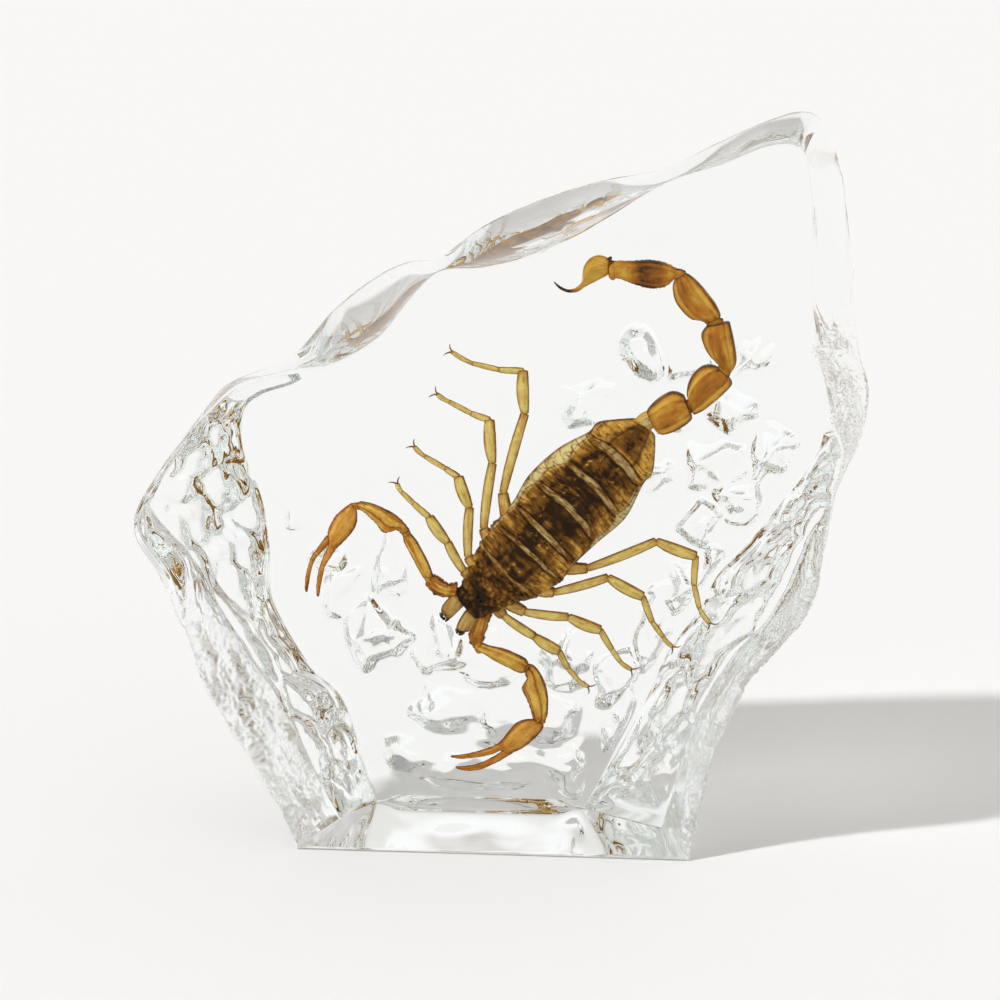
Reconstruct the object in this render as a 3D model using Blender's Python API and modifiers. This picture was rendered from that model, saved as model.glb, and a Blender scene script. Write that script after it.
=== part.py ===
"""A dried scorpion sealed in a clear free-form resin block.

The block stands on a flat base. Its front face is flat, its sides are hammered and chipped, its top is
knapped into twisting facets, and shallow scoops are carved into its back. The resin is parted on the
plane that the scorpion lies in, so that the animal sits in a pocket between two halves.

Metres, +Z up, the front face towards -Y, the origin at the middle of the base.
"""

from math import cos, pi, radians, sin, sqrt

import bmesh
import bpy
from mathutils import Matrix, Vector, noise

MM = 0.001

# ---- driving dimensions -------------------------------------------------------------------------

THICKNESS = 25.0 * MM
FRONT_Y = -THICKNESS / 2
BACK_Y = THICKNESS / 2
PARTING_Y = 0.0
PARTING_GAP = 0.3 * MM  # between the two halves
POCKET_CLEARANCE = 0.35 * MM  # between the animal and the resin
EDGE_ROUND = 0.4 * MM  # rounding of the front and back edges

# The block's corners, clockwise from the left foot as seen from the front, in millimetres: where the
# corner is on the front face (x, z), on the arris that runs round the sides (x, y, z), and on the
# back face (x, z).
CORNERS = {
    "foot_left": ((-22.0, 0.0), (-18.4, 3.0, 0.0), (-15.0, 0.0)),
    "heel_left": ((-24.2, 5.0), (-20.8, 3.0, 5.0), (-16.4, 4.6)),
    "shin_left": ((-28.8, 12.6), (-24.2, 3.0, 12.4), (-18.6, 12.0)),
    "knee_left": ((-31.8, 18.0), (-27.8, 3.0, 18.2), (-22.4, 16.0)),
    "thigh_left": ((-34.3, 25.0), (-31.8, 3.0, 24.8), (-26.4, 23.5)),
    "hip_left": ((-36.4, 30.4), (-35.2, 2.0, 30.2), (-26.6, 29.6)),
    "corner_left": ((-39.2, 36.2), (-39.0, 0.0, 35.6), (-27.4, 35.6)),
    "shoulder_low": ((-35.8, 42.9), (-37.2, 2.0, 40.4), (-29.4, 41.0)),
    "shoulder_mid": ((-31.0, 48.8), (-33.4, 2.0, 45.8), (-29.4, 45.2)),
    "shoulder_left": ((-27.2, 52.2), (-30.4, 2.0, 48.9), (-27.4, 47.2)),
    "pinch_low": ((-21.8, 53.6), (-22.4, -9.0, 54.3), (-22.8, 49.2)),
    "flake_low_start": ((-17.4, 54.4), (-19.6, 6.5, 56.2), (-19.0, 54.6)),
    "flake_low_middle": ((-12.4, 57.4), (-14.9, 7.0, 59.9), (-14.2, 58.6)),
    "flake_low_end": ((-9.4, 61.2), (-10.9, 2.5, 62.5), (-10.8, 60.2)),
    "pinch_middle": ((-6.0, 64.5), (-6.4, -9.0, 65.4), (-7.0, 61.6)),
    "flake_high_start": ((-1.4, 65.1), (-3.0, 5.5, 66.0), (-2.6, 64.4)),
    "flake_high_middle": ((4.0, 66.6), (2.4, 8.0, 68.3), (3.0, 66.8)),
    "flake_high_end": ((10.8, 70.2), (9.6, 6.5, 71.0), (10.0, 69.2)),
    "pinch_high": ((17.6, 74.3), (17.2, -8.0, 75.1), (16.6, 70.6)),
    "neck": ((23.4, 76.4), (23.0, -1.0, 76.9), (22.6, 74.2)),
    "crown": ((28.2, 78.4), (27.8, 1.0, 78.8), (27.4, 76.4)),
    "peak": ((31.4, 78.2), (32.2, 0.0, 80.0), (31.6, 77.4)),
    "peak_right": ((32.4, 75.2), (34.8, 2.0, 76.4), (34.0, 74.8)),
    "arm_high": ((32.9, 69.0), (36.5, 4.0, 68.0), (35.4, 67.8)),
    "arm_middle": ((33.0, 62.0), (37.2, 3.0, 60.0), (35.6, 60.4)),
    "arm_low": ((33.9, 56.0), (38.0, 2.0, 53.8), (35.4, 54.0)),
    "corner_right": ((35.2, 50.6), (39.2, 0.0, 49.6), (34.8, 48.2)),
    "hip_right": ((36.8, 45.4), (38.3, -3.0, 44.6), (34.2, 42.6)),
    "flank_high": ((35.8, 40.6), (35.8, 2.0, 39.0), (31.4, 38.0)),
    "flank_low": ((34.4, 31.2), (32.2, 3.0, 31.8), (26.6, 31.6)),
    "thigh_right": ((33.0, 27.2), (30.6, 3.0, 27.8), (22.8, 27.4)),
    "notch_high": ((28.9, 22.2), (28.0, 3.0, 23.2), (20.6, 23.0)),
    "notch_low": ((26.6, 19.0), (25.0, 3.0, 19.8), (17.6, 18.6)),
    "shin_right": ((24.1, 13.0), (21.6, 3.0, 13.6), (15.0, 12.4)),
    "heel_right": ((22.4, 6.5), (19.4, 3.0, 6.6), (11.6, 6.0)),
    "foot_right": ((21.0, 0.0), (17.6, 3.0, 0.0), (8.2, 0.0)),
}

# The sides between these corners are hammered, and flow in ridges towards the back face.
HAMMERED = (("foot_left", "corner_left"), ("corner_right", "foot_right"))
RIDGED = (("foot_left", "shoulder_mid"), ("corner_right", "foot_right"))
HAMMER_DEPTH = 0.35 * MM
HAMMER_SIZE = 2.6 * MM
RIDGE_DEPTH = 0.75 * MM
RIDGES = 2.5  # from the arris to the back face
FLAKE_HOLLOW = 0.8 * MM  # how far the knapped top facets are scooped out
OUTLINE_STEP = 3.6 * MM
FRONT_ROWS = 3  # rows of faces from the front edge to the arris
BACK_ROWS = 5  # and from the arris to the back face
FACE_MIDDLE = (2.0, 36.0)  # x and z in millimetres, of the rings that the flat faces are made of

# Scoops carved into the back face: x, z, half width, half height, depth in millimetres, and roll in
# degrees.
SCOOPS = (
    (8.9, 46.8, 3.3, 3.8, 1.0, 20),
    (14.7, 53.0, 2.6, 3.4, 0.9, -15),
    (19.4, 52.4, 2.8, 3.9, 0.9, 12),
    (26.4, 52.6, 3.6, 2.7, 0.8, 30),
    (24.6, 46.8, 3.4, 3.8, 1.0, -25),
    (18.0, 46.0, 3.7, 3.2, 0.8, 10),
    (15.8, 39.6, 4.0, 3.4, 0.8, 40),
    (23.0, 40.4, 4.2, 3.6, 0.9, -10),
    (-23.4, 33.0, 1.7, 1.9, 0.5, 0),
    (-13.2, 27.4, 2.8, 3.7, 0.9, 15),
    (-18.6, 24.6, 3.4, 3.0, 0.8, -30),
    (-14.8, 19.8, 4.6, 3.4, 1.1, 35),
    (-7.8, 18.6, 2.9, 3.4, 0.9, -10),
    (-2.4, 17.2, 2.7, 3.5, 0.9, 15),
    (-6.2, 11.8, 4.2, 3.2, 1.2, -12),
    (1.0, 11.0, 3.4, 3.0, 0.9, 25),
    (6.2, 17.4, 3.4, 3.6, 0.9, -20),
    (11.8, 15.6, 2.6, 3.8, 0.9, 18),
    (6.9, 10.0, 3.5, 3.2, 1.0, 5),
    (-10.6, 5.2, 4.0, 2.6, 0.7, 10),
    (-2.6, 4.8, 4.2, 2.6, 0.7, -8),
)
SCOOP_FLARE = 4.0  # a scoop is the tip of an ellipsoid this many scoop depths deep

# ---- the scorpion -------------------------------------------------------------------------------

HEAD = Vector((-3.9, 0.0, 25.8)) * MM  # the middle of the carapace's front edge
BODY_ANGLE = radians(46.9)  # from +X towards +Z, head to tail
BODY_FLATNESS = 0.5  # thickness over width

# Half widths of the back along the body, in millimetres from the carapace's front edge. Each tergite
# starts narrow under the one before it and ends in a raised rim.
CARAPACE = ((0.0, 1.7), (0.5, 2.3), (2.5, 3.0), (4.5, 3.7), (6.0, 4.2))
TERGITE_STARTS = (6.2, 9.3, 12.1, 15.2, 19.0, 22.8)
TERGITE_WIDTHS = (4.6, 4.9, 5.15, 5.25, 5.15, 4.5)
TERGITE_STEP = 0.35
LAST_TERGITE = ((25.1, 3.9), (26.6, 3.1), (28.1, 1.7))

# Limbs lie in the parting plane. Each is a chain of joints (x, z), with the widest radius of the
# segment that ends at each, all in millimetres.
LEGS = {
    "leg_left_1": (((-2.0, 28.6), 0.6), ((-4.6, 30.0), 0.55), ((-6.0, 33.0), 0.5), ((-8.0, 35.8), 0.52),
                   ((-9.7, 37.2), 0.36), ((-11.0, 38.4), 0.26), ((-11.4, 39.3), 0.18)),
    "leg_left_2": (((-1.4, 29.6), 0.6), ((-3.8, 31.6), 0.55), ((-3.6, 37.0), 0.5), ((-4.8, 40.4), 0.55),
                   ((-6.2, 41.2), 0.36), ((-8.5, 42.5), 0.28), ((-9.5, 43.5), 0.18)),
    "leg_left_3": (((-0.2, 31.6), 0.6), ((-2.0, 35.0), 0.58), ((-1.1, 42.0), 0.56), ((-1.4, 46.8), 0.58),
                   ((-3.4, 47.4), 0.38), ((-5.8, 48.6), 0.28), ((-7.0, 49.3), 0.18)),
    "leg_left_4": (((1.2, 32.8), 0.6), ((0.2, 39.6), 0.62), ((2.4, 47.6), 0.6), ((2.2, 52.3), 0.6),
                   ((-0.4, 52.3), 0.4), ((-3.3, 52.9), 0.3), ((-5.4, 54.1), 0.18)),
    "leg_right_1": (((-1.6, 27.2), 0.6), ((-0.2, 25.0), 0.55), ((3.5, 22.6), 0.5), ((6.2, 21.0), 0.52),
                    ((7.1, 19.0), 0.36), ((8.2, 17.7), 0.26), ((9.3, 16.9), 0.18)),
    "leg_right_2": (((-0.8, 28.0), 0.6), ((2.0, 25.4), 0.55), ((7.2, 24.9), 0.5), ((10.7, 23.5), 0.55),
                    ((11.9, 21.3), 0.36), ((12.8, 19.9), 0.28), ((14.0, 19.0), 0.18)),
    "leg_right_3": (((2.0, 29.4), 0.6), ((5.6, 27.6), 0.58), ((11.5, 29.5), 0.56), ((15.3, 27.4), 0.58),
                    ((16.3, 24.5), 0.38), ((17.5, 22.8), 0.28), ((18.5, 21.7), 0.18)),
    "leg_right_4": (((4.0, 31.2), 0.6), ((9.4, 30.5), 0.62), ((16.7, 33.7), 0.58), ((21.0, 32.1), 0.6),
                    ((20.8, 28.8), 0.4), ((21.4, 26.2), 0.3), ((22.5, 24.5), 0.18)),
}
# Pedipalps, chelicerae and tail: chains of (x, z) and the radius there.
BEADS = {
    "chelicera_left": (((-3.2, 27.6), 0.8), ((-5.2, 26.4), 0.85), ((-6.1, 24.8), 0.8), ((-6.5, 24.0), 0.35)),
    "chelicera_right": (((-2.0, 26.6), 0.8), ((-3.2, 24.7), 0.85), ((-4.4, 23.3), 0.8), ((-5.0, 22.6), 0.35)),
    "trochanter_left": (((-3.6, 28.4), 0.7), ((-5.8, 28.0), 0.95), ((-7.8, 28.6), 1.0), ((-8.4, 29.3), 0.6)),
    "femur_left": (((-8.0, 28.7), 0.65), ((-8.9, 30.2), 0.95), ((-9.8, 32.0), 0.9), ((-10.7, 33.9), 0.6)),
    "patella_left": (((-10.5, 33.5), 0.65), ((-11.6, 35.0), 1.15), ((-13.4, 36.2), 1.1), ((-16.0, 37.1), 0.5)),
    "hand_left": (((-15.6, 37.1), 0.45), ((-17.0, 36.1), 1.15), ((-18.0, 34.7), 1.4), ((-18.8, 33.1), 0.75)),
    "finger_left": (((-18.4, 33.8), 0.7), ((-18.9, 31.9), 0.42), ((-19.6, 30.2), 0.36), ((-20.1, 28.4), 0.3),
                    ((-20.3, 26.2), 0.16)),
    "thumb_left": (((-18.7, 34.6), 0.5), ((-19.6, 32.9), 0.4), ((-20.7, 31.0), 0.34), ((-21.4, 29.2), 0.28),
                   ((-21.5, 26.8), 0.16)),
    "trochanter_right": (((-1.2, 26.4), 0.7), ((-2.4, 24.4), 0.9), ((-3.2, 22.6), 0.95), ((-2.8, 21.4), 0.6)),
    "femur_right": (((-3.2, 21.8), 0.65), ((-1.4, 20.9), 0.85), ((0.8, 20.0), 0.9), ((3.0, 18.8), 0.6)),
    "patella_right": (((2.5, 19.3), 0.65), ((3.8, 17.8), 1.1), ((4.3, 15.6), 1.15), ((4.1, 12.7), 0.5)),
    "hand_right": (((4.3, 13.2), 0.45), ((3.0, 12.3), 1.15), ((1.4, 11.3), 1.35), ((-0.4, 10.2), 0.75)),
    "finger_right": (((0.4, 10.9), 0.7), ((-1.4, 9.6), 0.42), ((-3.2, 8.8), 0.32), ((-4.6, 8.5), 0.26),
                     ((-5.8, 8.5), 0.14)),
    "thumb_right": (((1.4, 10.3), 0.5), ((0.0, 8.9), 0.36), ((-1.8, 7.8), 0.3), ((-3.6, 7.2), 0.24),
                    ((-5.3, 7.2), 0.14)),
    "tail_1": (((14.8, 45.9), 1.1), ((16.6, 47.2), 1.75), ((18.6, 48.3), 1.85), ((20.4, 49.4), 1.45)),
    "tail_2": (((19.6, 48.8), 1.2), ((21.2, 50.0), 1.85), ((22.9, 51.4), 1.95), ((24.4, 52.8), 1.4)),
    "tail_3": (((24.0, 51.9), 1.1), ((24.0, 53.8), 1.75), ((23.7, 55.6), 1.85), ((23.1, 57.6), 1.35)),
    "tail_4": (((23.4, 57.0), 1.0), ((21.9, 59.0), 1.65), ((20.4, 60.8), 1.7), ((18.6, 62.6), 1.1)),
    "tail_5": (((19.0, 62.2), 0.9), ((16.9, 63.0), 1.4), ((14.4, 63.3), 1.45), ((11.2, 63.5), 0.95)),
    "sting": (((12.0, 63.6), 0.6), ((10.6, 63.9), 1.25), ((9.6, 63.6), 1.4), ((8.8, 62.7), 0.95),
              ((8.2, 61.8), 0.5), ((7.5, 61.2), 0.32), ((6.7, 61.1), 0.22), ((6.0, 61.5), 0.15),
              ((5.4, 62.2), 0.08)),
}
EYE_MOUND = (3.0, 0.9)  # distance along the body and radius, in millimetres
LEG_NECK = 0.72  # how narrow a leg segment is at its ends

RESIN_COLOUR = (0.96, 0.98, 0.98, 1.0)
RESIN_ROUGHNESS = 0.02
RESIN_IOR = 1.5
CHITIN_COLOUR = (0.36, 0.19, 0.04, 1.0)
CHITIN_ROUGHNESS = 0.35


# ---- helpers ------------------------------------------------------------------------------------


def clear_scene():
    for old in list(bpy.data.objects):
        bpy.data.objects.remove(old, do_unlink=True)


def new_collection(name):
    made = bpy.data.collections.new(name)
    bpy.context.scene.collection.children.link(made)
    return made


def mesh_object(name, mesh, collection, helper=False):
    made = bpy.data.objects.new(name, mesh)
    collection.objects.link(made)
    if helper:
        made.hide_render = True
        made.display_type = "WIRE"
    return made


def bmesh_object(name, shape, collection, helper=False):
    mesh = bpy.data.meshes.new(name)
    shape.to_mesh(mesh)
    shape.free()
    return mesh_object(name, mesh, collection, helper)


def as_mesh(source, collection, helper=True):
    """The evaluated shape of an object, with its doubles welded, in place of the object."""
    graph = bpy.context.evaluated_depsgraph_get()
    mesh = bpy.data.meshes.new_from_object(source.evaluated_get(graph))
    shape = bmesh.new()
    shape.from_mesh(mesh)
    bmesh.ops.remove_doubles(shape, verts=shape.verts, dist=0.001 * MM)
    bmesh.ops.recalc_face_normals(shape, faces=shape.faces)
    shape.to_mesh(mesh)
    shape.free()
    name, place = source.name, source.matrix_world.copy()
    bpy.data.objects.remove(source, do_unlink=True)
    made = mesh_object(name, mesh, collection, helper)
    made.matrix_world = place
    return made


def boolean(target, operation, other):
    cut = target.modifiers.new(operation.title(), "BOOLEAN")
    cut.operation = operation
    cut.solver = "EXACT"
    if isinstance(other, bpy.types.Collection):
        cut.operand_type = "COLLECTION"
        cut.collection = other
    else:
        cut.object = other


def principled(name, colour, roughness, transmission=0.0, ior=1.5):
    made = bpy.data.materials.new(name)
    made.use_nodes = True
    shader = made.node_tree.nodes["Principled BSDF"]
    shader.inputs["Base Color"].default_value = colour
    shader.inputs["Roughness"].default_value = roughness
    shader.inputs["Transmission Weight"].default_value = transmission
    shader.inputs["IOR"].default_value = ior
    return made


# ---- the block ----------------------------------------------------------------------------------


def curve_point(points, index, share):
    """The point at this share of the way from one corner to the next, on a curve through them all."""
    before = points[max(index - 1, 0)]
    start, end = points[index], points[index + 1]
    after = points[min(index + 2, len(points) - 1)]
    square, cube = share * share, share**3
    return 0.5 * (
        2 * start
        + (end - before) * share
        + (2 * before - 5 * start + 4 * end - after) * square
        + (3 * start - before - 3 * end + after) * cube
    )


def inside(runs, names, place):
    """How far a place along the outline is inside one of these runs of corners, from 0 to 1."""
    share = 0.0
    for first, last in runs:
        low, high = names.index(first), names.index(last)
        share = max(share, min(1.0, max(0.0, min(place - low + 0.5, high - place + 0.5))))
    return share


def side_profile(front, arris, back):
    """Points down one section of the side, from the front edge over the arris to the back edge."""
    outward = Vector((arris.x, 0, arris.z - 0.5 * front.z)).normalized()
    rows = [(front.lerp(arris, 0.06) - outward * EDGE_ROUND, 0.0, -1)]
    rows[0][0].y = front.y
    for row in range(FRONT_ROWS):
        share = (row + 0.25) / FRONT_ROWS
        rows.append((front.lerp(arris, share), share, 0))
    for row in range(BACK_ROWS):
        share = row / (BACK_ROWS - 0.5)
        rows.append((arris.lerp(back, share), share, 1))
    rows.append((back.copy(), 1.0, 2))
    return rows, outward


def block_sections():
    """The outline's sections: one list of points down the side for each step round it."""
    names = list(CORNERS)
    fronts = [Vector((x, FRONT_Y / MM, z)) * MM for (x, z), _, _ in CORNERS.values()]
    arrises = [Vector(point) * MM for _, point, _ in CORNERS.values()]
    backs = [Vector((x, BACK_Y / MM, z)) * MM for _, _, (x, z) in CORNERS.values()]
    sections = []
    for index in range(len(names) - 1):
        steps = max(1, round((fronts[index + 1] - fronts[index]).length / OUTLINE_STEP))
        last = index == len(names) - 2
        for step in range(steps + last):
            share = step / steps
            place = index + share
            lines = [curve_point(points, index, share) for points in (fronts, arrises, backs)]
            rows, outward = side_profile(*lines)
            hammered = inside(HAMMERED, names, place)
            ridged = inside(RIDGED, names, place)
            at_foot = min(place, len(names) - 1 - place) < 0.01
            section = []
            for point, along, zone in rows:
                shift = 0.0
                if zone == 0:
                    bow = 4 * along * (1 - along)
                    shift -= FLAKE_HOLLOW * bow * (1 - hammered)
                    shift += HAMMER_DEPTH * noise.noise(point / HAMMER_SIZE) * hammered
                if zone == 1:
                    wave = sin(2 * pi * RIDGES * along + 0.9 * place)
                    shift += RIDGE_DEPTH * wave * sin(pi * along) * ridged
                moved = point + outward * shift
                moved.z = 0.0 if at_foot else max(moved.z, 0.2 * MM)
                section.append(moved)
            sections.append(section)
    return sections


def close_flat_face(shape, outline):
    """Close a flat face with one ring of faces and a fan."""
    middle = Vector((FACE_MIDDLE[0] * MM, outline[0].co.y, FACE_MIDDLE[1] * MM))
    ring = [shape.verts.new(middle.lerp(corner.co, 0.5)) for corner in outline]
    for index, corner in enumerate(outline):
        after = (index + 1) % len(outline)
        shape.faces.new((corner, outline[after], ring[after], ring[index]))
    centre = shape.verts.new(middle)
    for index, corner in enumerate(ring):
        shape.faces.new((corner, ring[(index + 1) % len(ring)], centre))


def make_block(name, collection):
    """The whole block as a loft between its sections, closed by the flat faces."""
    shape = bmesh.new()
    sections = [[shape.verts.new(point) for point in section] for section in block_sections()]
    for left, right in zip(sections, sections[1:] + sections[:1]):
        for row in range(len(left) - 1):
            shape.faces.new((left[row], left[row + 1], right[row + 1], right[row]))
    for row in (0, -1):
        close_flat_face(shape, [section[row] for section in sections])
    bmesh.ops.triangulate(shape, faces=shape.faces)
    bmesh.ops.recalc_face_normals(shape, faces=shape.faces)
    return bmesh_object(name, shape, collection)


def make_scoops(collection):
    """Shallow ellipsoids that stand behind the back face and bite into it."""
    for number, (x, z, half_width, half_height, depth, roll) in enumerate(SCOOPS, 1):
        flare = SCOOP_FLARE
        spread = sqrt(1 - ((flare - 1) / flare) ** 2)  # of the ellipsoid, where the back face cuts it
        size = Matrix.Diagonal((half_width / spread, flare * depth, half_height / spread, 1.0))
        shape = bmesh.new()
        bmesh.ops.create_uvsphere(shape, u_segments=12, v_segments=10, radius=1.0)
        turn = Matrix.Rotation(radians(90), 4, "X")  # the sphere's pole points into the block
        bmesh.ops.transform(shape, matrix=size @ turn, verts=shape.verts)
        bmesh.ops.scale(shape, vec=(MM, MM, MM), verts=shape.verts)
        scoop = bmesh_object(f"scoop_{number}", shape, collection, helper=True)
        scoop.rotation_euler.y = radians(roll)
        scoop.location = (x * MM, BACK_Y + (flare - 1) * depth * MM, z * MM)


def make_half_space(name, behind, collection):
    """A box over everything on one side of the parting plane."""
    side = 0.2
    shape = bmesh.new()
    bmesh.ops.create_cube(shape, size=side)
    box = bmesh_object(name, shape, collection, helper=True)
    offset = side / 2 + PARTING_GAP / 2
    box.location = (0, PARTING_Y + (offset if behind else -offset), 0.04)
    return box


# ---- the scorpion's pieces ----------------------------------------------------------------------


def chain(name, beads, grow, collection, resolution):
    """A tube through points (x, z) with a radius at each, made a closed mesh.

    A grown tube's flats, and not only its corners, stand off by the growth.
    """
    points = [Vector((x, PARTING_Y / MM, z)) * MM for (x, z), _ in beads]
    sides = 4 + 2 * resolution
    widen = 1 / cos(pi / sides) if grow else 1.0
    radii = [(radius * MM + grow) * widen for _, radius in beads]
    points[0] += (points[0] - points[1]).normalized() * grow
    points[-1] += (points[-1] - points[-2]).normalized() * grow
    curve = bpy.data.curves.new(name, "CURVE")
    curve.dimensions = "3D"
    curve.bevel_depth = 1.0
    curve.bevel_resolution = resolution
    curve.use_fill_caps = True
    spline = curve.splines.new("POLY")
    spline.points.add(len(points) - 1)
    for knot, point, radius in zip(spline.points, points, radii):
        knot.co = (*point, 1.0)
        knot.radius = radius
    made = mesh_object(name, curve, collection, helper=True)
    bpy.context.view_layer.update()
    return as_mesh(made, collection)


def leg_beads(joints):
    """Each leg segment swells between its narrow ends."""
    beads = [(joints[0][0], joints[0][1] * LEG_NECK)]
    for (start, _), (end, radius) in zip(joints, joints[1:]):
        for share, swell in ((0.4, 1.0), (1.0, LEG_NECK)):
            x = start[0] + (end[0] - start[0]) * share
            z = start[1] + (end[1] - start[1]) * share
            beads.append(((x, z), radius * swell))
    return beads


def body_profile():
    """Half widths down the body from head to tail, with a rim at the end of each tergite."""
    profile = [(0.0, 0.0), *CARAPACE]
    ends = (*TERGITE_STARTS[1:], LAST_TERGITE[0][0])
    for start, end, width in zip(TERGITE_STARTS, ends, TERGITE_WIDTHS):
        profile.append((start, width - TERGITE_STEP))
        profile.append((end - 0.4, width))
    profile += LAST_TERGITE
    profile.append((LAST_TERGITE[-1][0], 0.0))
    return profile


def make_body(name, profile, grow, collection, steps, helper=False):
    """The carapace and the back: a turned profile, flattened and laid along the body's axis."""
    shape = bmesh.new()
    knots = []
    widen = 1 / cos(pi / steps) if grow else 1.0
    for along, width in profile:
        end_shift = -grow if along == 0 else (grow if along == LAST_TERGITE[-1][0] else 0.0)
        radius = (width * MM + grow) * widen if width else 0.0
        knots.append(shape.verts.new((radius, 0.0, -(along * MM + end_shift))))
    for first, second in zip(knots, knots[1:]):
        shape.edges.new((first, second))
    body = bmesh_object(name, shape, collection, helper)
    turn = body.modifiers.new("Turn", "SCREW")
    turn.steps = turn.render_steps = steps
    turn.use_merge_vertices = True
    turn.merge_threshold = 0.00001
    bpy.context.view_layer.update()
    body = as_mesh(body, collection, helper)
    # Local -Z runs from head to tail, and local Y is the thickness.
    flatness = (BODY_FLATNESS * 5 * MM + grow) / (5 * MM + grow)
    body.data.transform(Matrix.Diagonal((1.0, flatness, 1.0, 1.0)))
    body.data.transform(Matrix.Rotation(-BODY_ANGLE - pi / 2, 4, "Y"))
    body.data.transform(Matrix.Translation(HEAD))
    return body


def make_eye_mound(grow, collection):
    along, radius = (value * MM for value in EYE_MOUND)
    half_width = 3.1 * MM
    shape = bmesh.new()
    bmesh.ops.create_uvsphere(shape, u_segments=8, v_segments=6, radius=radius + grow)
    mound = bmesh_object("eye_mound", shape, collection, helper=True)
    forward = Vector((cos(BODY_ANGLE), 0, sin(BODY_ANGLE)))
    mound.location = HEAD + forward * along + Vector((0, -half_width * BODY_FLATNESS, 0))
    return mound


def make_limbs(collection):
    for name, joints in LEGS.items():
        chain(name, leg_beads(joints), 0.0, collection, resolution=1)
    for name, beads in BEADS.items():
        chain(name, beads, 0.0, collection, resolution=2)
    make_eye_mound(0.0, collection)


def make_pocket(collection, limbs):
    """A plainer shape that holds the animal with the clearance all round."""
    for name, joints in LEGS.items():
        chain(name, joints, POCKET_CLEARANCE, limbs, resolution=1)
    for name, beads in BEADS.items():
        chain(name, beads, POCKET_CLEARANCE, limbs, resolution=1)
    make_eye_mound(POCKET_CLEARANCE, limbs)
    profile = [(along, width) for along, width in body_profile() if along not in TERGITE_STARTS]
    pocket = make_body("pocket", profile, POCKET_CLEARANCE, collection, steps=12, helper=True)
    boolean(pocket, "UNION", limbs)
    bpy.context.view_layer.update()
    return as_mesh(pocket, collection)


# ---- the object ---------------------------------------------------------------------------------


def main():
    clear_scene()
    parts = new_collection("scorpion in resin block")
    limbs = new_collection("limbs")
    pocket_limbs = new_collection("pocket limbs")
    scoops = new_collection("scoops")
    cutters = new_collection("cutters")

    make_limbs(limbs)
    scorpion = make_body("scorpion", body_profile(), 0.0, parts, steps=16)
    boolean(scorpion, "UNION", limbs)
    pocket = make_pocket(cutters, pocket_limbs)

    resin_front = make_block("resin_front", parts)
    boolean(resin_front, "INTERSECT", make_half_space("front_side", False, cutters))
    boolean(resin_front, "DIFFERENCE", pocket)

    make_scoops(scoops)
    resin_back = make_block("resin_back", parts)
    boolean(resin_back, "DIFFERENCE", scoops)
    boolean(resin_back, "INTERSECT", make_half_space("back_side", True, cutters))
    boolean(resin_back, "DIFFERENCE", pocket)

    resin = principled("clear resin", RESIN_COLOUR, RESIN_ROUGHNESS, transmission=1.0, ior=RESIN_IOR)
    chitin = principled("dried chitin", CHITIN_COLOUR, CHITIN_ROUGHNESS)
    for half in (resin_front, resin_back):
        half.data.materials.append(resin)
    scorpion.data.materials.append(chitin)


main()
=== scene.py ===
import math
from types import SimpleNamespace

import bpy
import numpy as np
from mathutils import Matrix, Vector


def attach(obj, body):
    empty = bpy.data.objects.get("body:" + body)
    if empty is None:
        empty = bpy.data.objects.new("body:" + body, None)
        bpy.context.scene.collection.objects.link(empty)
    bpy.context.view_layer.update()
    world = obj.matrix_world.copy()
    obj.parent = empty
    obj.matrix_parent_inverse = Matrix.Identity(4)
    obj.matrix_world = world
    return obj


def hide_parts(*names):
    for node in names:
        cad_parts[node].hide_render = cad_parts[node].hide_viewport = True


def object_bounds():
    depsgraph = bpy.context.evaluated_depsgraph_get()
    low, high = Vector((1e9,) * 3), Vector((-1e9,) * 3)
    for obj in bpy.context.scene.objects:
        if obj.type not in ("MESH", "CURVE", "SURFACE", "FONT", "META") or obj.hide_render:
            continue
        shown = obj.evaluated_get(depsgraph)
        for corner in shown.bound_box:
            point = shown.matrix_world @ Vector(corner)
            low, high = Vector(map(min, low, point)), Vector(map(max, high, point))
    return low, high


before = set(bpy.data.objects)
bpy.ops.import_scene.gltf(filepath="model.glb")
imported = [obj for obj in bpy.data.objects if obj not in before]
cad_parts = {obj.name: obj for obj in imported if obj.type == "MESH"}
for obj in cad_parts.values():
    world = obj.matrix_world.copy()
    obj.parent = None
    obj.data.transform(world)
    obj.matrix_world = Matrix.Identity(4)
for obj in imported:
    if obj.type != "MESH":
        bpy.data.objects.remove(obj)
cadLow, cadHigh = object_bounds()
print("frame loaded")

millimetre = 0.001


# Meshes from grids. All shapes are worked out in millimetres.


def gridFaces(rows, columns):
    # One four-sided face between neighbouring rows and columns of a grid whose last column joins its first.
    index = np.arange(rows * columns).reshape(rows, columns)
    index = np.concatenate([index, index[:, :1]], axis=1)
    return np.stack([index[:-1, :-1], index[:-1, 1:], index[1:, 1:], index[1:, :-1]], axis=-1).reshape(-1, 4)


def fanFaces(ring, pole, reverse=False):
    # Triangles from a closed ring of vertices to one pole vertex.
    after = np.roll(ring, -1)
    pair = (after, ring) if reverse else (ring, after)
    return np.stack([*pair, np.full(len(ring), pole)], axis=-1)


def joinShells(shells):
    # Several (points, faces, values) become one, with the face numbers shifted along.
    points, faces, values, count = [], [], {}, 0
    for shellPoints, shellFaces, shellValues in shells:
        points.append(shellPoints)
        faces += [part + count for part in shellFaces]
        for key, value in shellValues.items():
            values.setdefault(key, []).append(value)
        count += len(shellPoints)
    return np.concatenate(points), faces, {key: np.concatenate(value) for key, value in values.items()}


def addObject(name, data):
    thing = bpy.data.objects.new(name, data)
    bpy.context.scene.collection.objects.link(thing)
    return thing


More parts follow.
